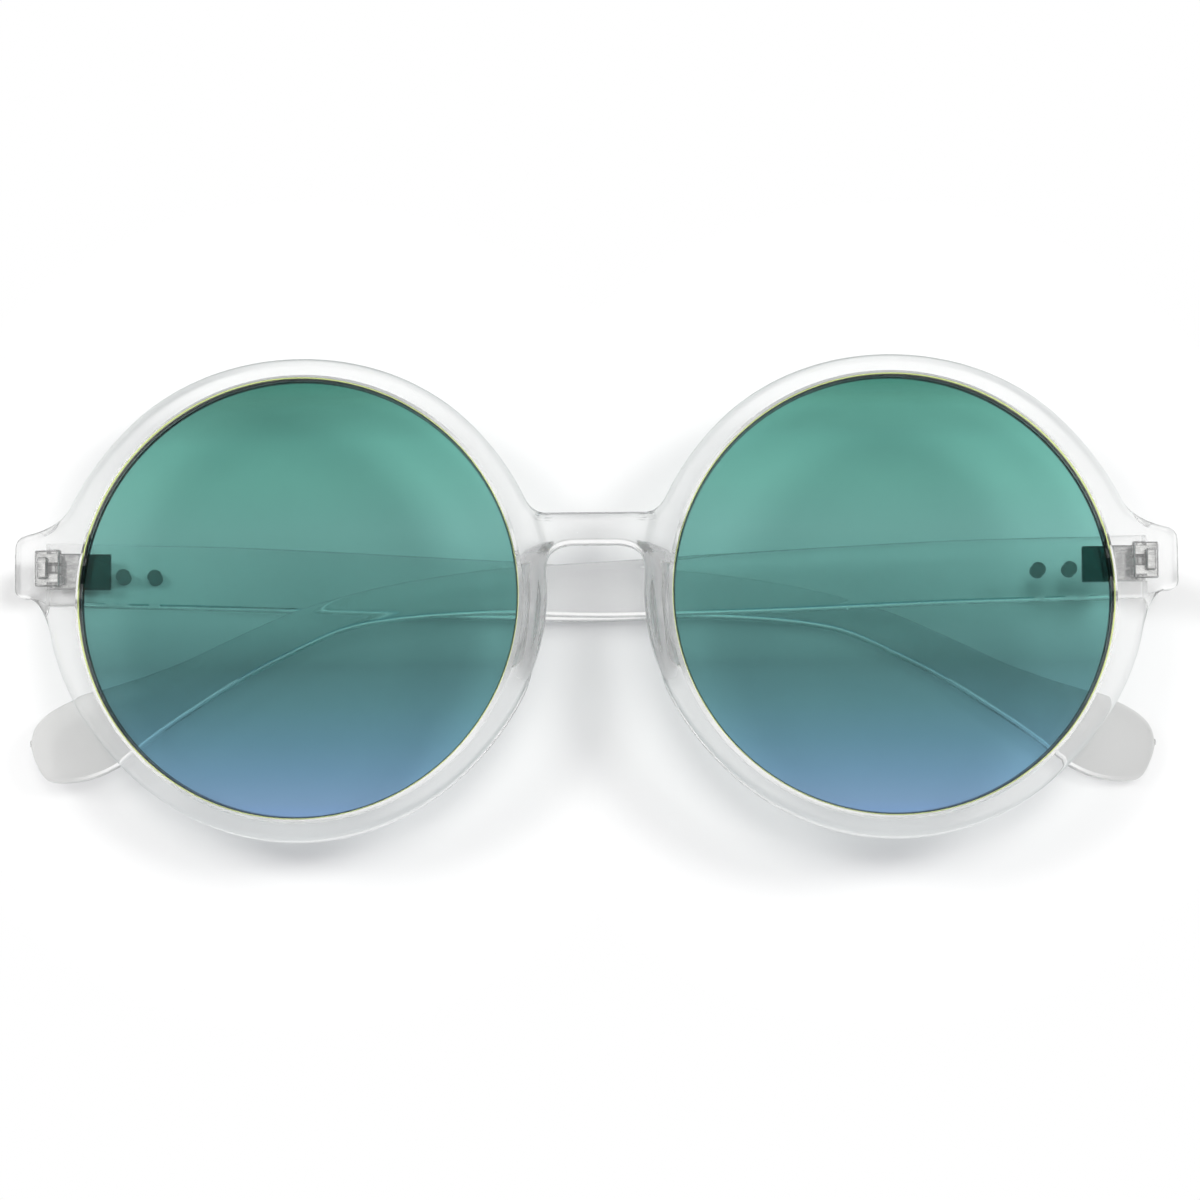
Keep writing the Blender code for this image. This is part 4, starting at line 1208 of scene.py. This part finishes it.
# a turned part: rows of (radius, height) swept about z, repeated along a line and laid on a base
def turnedTree(name, profile, material):
    tree = bpy.data.node_groups.new(name, "GeometryNodeTree")
    tree.interface.new_socket("Geometry", in_out="INPUT", socket_type="NodeSocketGeometry")
    keys = {key: treeInput(tree, key, "NodeSocketInt", value) for key, value in (("Turns", 24), ("Count", 1))}
    keys.update({key: treeInput(tree, key, "NodeSocketVector", (0.0, 0.0, 0.0))
                 for key in ("Start", "Step", "Turn")})
    tree.interface.new_socket("Geometry", in_out="OUTPUT", socket_type="NodeSocketGeometry")
    start = Wire(tree)
    given = tree.nodes.new("NodeGroupInput")
    size = {key: Wire(tree, given.outputs[key]) for key in ("Geometry", *keys)}
    grid = start.node("GeometryNodeMeshGrid", {}, {
        "Size X": 1.0, "Size Y": 1.0, "Vertices X": size["Turns"] + 1, "Vertices Y": len(profile)})
    place = start.node("GeometryNodeInputPosition")
    angle = (place.axis("X") + 0.5) * math.tau
    share = place.axis("Y") + 0.5
    reach, span = (max(row[k] for row in profile) for k in (0, 1))

    # straight stretches between one number of the rows, as shares of the largest
    def alongRows(k, most):
        points = [(row / (len(profile) - 1), values[k] / most) for row, values in enumerate(profile)]
        return start.node("ShaderNodeFloatCurve", {"points": points}, {"Value": share})

    radius = alongRows(0, reach) * reach
    point = start.node("ShaderNodeCombineXYZ", {}, {
        "X": radius * start.maths("COSINE", angle), "Y": radius * start.maths("SINE", angle),
        "Z": alongRows(1, span) * span})
    swept = start.node("GeometryNodeSetPosition", {}, {"Geometry": grid, "Position": point})
    closed = start.node("GeometryNodeMergeByDistance", {}, {"Geometry": swept, "Distance": 1e-6})
    line = start.node("GeometryNodeMeshLine", {}, {
        "Count": size["Count"], "Start Location": size["Start"], "Offset": size["Step"]})
    copies = start.node("GeometryNodeInstanceOnPoints", {}, {
        "Points": line, "Instance": closed, "Rotation": size["Turn"]})
    joinNode = tree.nodes.new("GeometryNodeJoinGeometry")
    for part in (copies, size["Geometry"]):
        tree.links.new(part.socket, joinNode.inputs[0])
    real = start.node("GeometryNodeRealizeInstances", {}, {"Geometry": Wire(tree, joinNode.outputs[0])})
    painted = start.node("GeometryNodeSetMaterial", {}, {"Geometry": real, "Material": material})
    start.node("NodeGroupOutput", {}, {"Geometry": painted})
    return tree, keys


# (radius, height) rows of a barrel: outer wall, upper face, bore and lower face
def barrelProfile(h, height):
    outer, bore, bevel = h["barrelRadius"], h["barrelBore"], h["bevel"]
    return ((bore, bevel), (bore + bevel, 0), (outer - bevel, 0), (outer, bevel), (outer, height - bevel),
            (outer - bevel, height), (bore + bevel, height), (bore, height - bevel), (bore, bevel))


# rows of a screw from its end to its domed head
def screwProfile(h):
    shank = h["middleBarrel"] + 2 * (h["outerBarrel"] + h["gap"]) + h["tail"] + h["gap"]
    r, head, top, b = h["screwRadius"], h["headRadius"], shank + h["headHeight"], h["bevel"]
    return ((0, 0), (r - b, 0), (r, b), (r, shank), (head - b / 2, shank), (head, shank + b / 2),
            (head, top - 2 * b), (head - b, top - b / 2), (head / 2, top - b / 6), (0, top))


def pinProfile(h):
    r, length, b = h["pinRadius"], h["pinLength"], h["pinBevel"]
    return ((0, 0), (r / 2, 0), (r - b, b / 8), (r - b / 2, b / 3), (r, b), (r, length - b),
            (r - b / 2, length - b / 3), (r - b, length - b / 8), (r / 2, length), (0, length))


def makeHinges(h, steel, leafSteel, pinSteel):
    middle = templeSizes["hingeHeight"]
    step = h["middleBarrel"] + 2 * h["gap"] + h["outerBarrel"]
    low = middle - step / 2 - h["outerBarrel"] / 2
    outerTree = turnedTree("outerBarrels", barrelProfile(h, h["outerBarrel"]), steel)
    middleTree = turnedTree("middleBarrel", barrelProfile(h, h["middleBarrel"]), steel)
    screwTree = turnedTree("screw", screwProfile(h), steel)
    pinTree = turnedTree("pins", pinProfile(h), pinSteel)
    for tag, side in (("left", -1), ("right", 1)):
        word, axes, swung = tag.title(), hingeMatrix(side), templeMatrix(side)

        # rows of a part swept about the hinge's axis, from a height upwards
        def upright(start, **more):
            return {"Turns": h["turns"], "Start": (0.0, start, 0.0), "Turn": (-math.pi / 2, 0.0, 0.0), **more}

        values = upright(low, Count=2, Step=(0.0, step, 0.0))
        leaf = grow(*outerTree, values, axes, "hingeFront" + word, h["crisp"], frontLeaf(h, side))
        seat(leaf, steel, "hinge_metal", "front", "hinge_front_" + tag)
        values = upright(middle - h["middleBarrel"] / 2)
        leaf = grow(*middleTree, values, swung, "hingeTemple" + word, h["crisp"], templeLeaf(h, side))
        mark(leaf, "reach", pointsOf(leaf, swung)[:, 0] * -side)
        seat(leaf, leafSteel, "hinge_metal", tag + "_temple", "hinge_temple_" + tag)
        values = upright(low - h["tail"])
        screw = grow(*screwTree, values, axes, "hingeScrew" + word, h["crisp"])
        top = low - h["tail"] + max(height for radius, height in screwProfile(h))
        slot = block((-h["slotWidth"] / 2, top - h["slotDepth"], -h["headRadius"] * 2),
                     (h["slotWidth"] / 2, top + h["overrun"], h["headRadius"] * 2), h["slotWidth"] / 8)
        carve(screw, [cutter(slot, side, axes)])
        seat(screw, steel, "hinge_metal", "front", "hinge_screw_" + tag)
        start, end = h["pinStart"], h["pinStart"] + h["pinSpacing"]
        values = {"Turns": h["turns"], "Count": 2, "Turn": (0.0, 0.0, 0.0),
                  "Start": (-side * start, pinHeight(start), h["pinSink"] - templeSizes["pivotToFace"]),
                  "Step": (-side * (end - start), pinHeight(end) - pinHeight(start), 0.0)}
        pins = grow(*pinTree, values, swung, "templePins" + word, h["crisp"])
        names = ["temple_pin_%s_%s" % (tag, place) for place in ("front", "rear")]
        seat(pins, pinSteel, "pin_metal", tag + "_temple", *names)


# plate, foot and the two arms that carry the outer barrels
def frontLeaf(h, side):
    plate, foot = frontPlate()
    middle, inner = templeSizes["hingeHeight"], h["middleBarrel"] / 2 + h["gap"]
    parts = [block(*plate, h["bevel"]), block(*foot, h["bevel"])]
    for low in (middle + inner, middle - inner - h["outerBarrel"]):
        parts.append(armBlock(h, low, h["outerBarrel"], plate[1][2], 1))
    return sided(joined(parts), side)


def templeLeaf(h, side):
    plate, foot = templePlate()
    low = templeSizes["hingeHeight"] - h["middleBarrel"] / 2
    arm = armBlock(h, low, h["middleBarrel"], -(plate[0][2] + plate[1][2]) / 2, -1)
    return sided(joined([block(*plate, h["bevel"]), block(*foot, h["bevel"]), arm]), side)


# arm from inside a barrel's wall to a height over the pivot, on either side
def armBlock(h, low, height, top, up):
    start, inset = (h["barrelBore"] + h["barrelRadius"]) / h["armStart"], h["bevel"] / 6
    near, far = sorted((up * start, up * top))
    return block((-h["armHalf"], low + inset, near), (h["armHalf"], low + height - inset, far),
                 h["bevel"] / 2)


makeHinges(hingeSizes, makeMetal("hingeMetal", metalLook), makeMetal("leafMetal", leafLook),
           makeMetal("pinMetal", pinLook))
print("hinges and pins made")
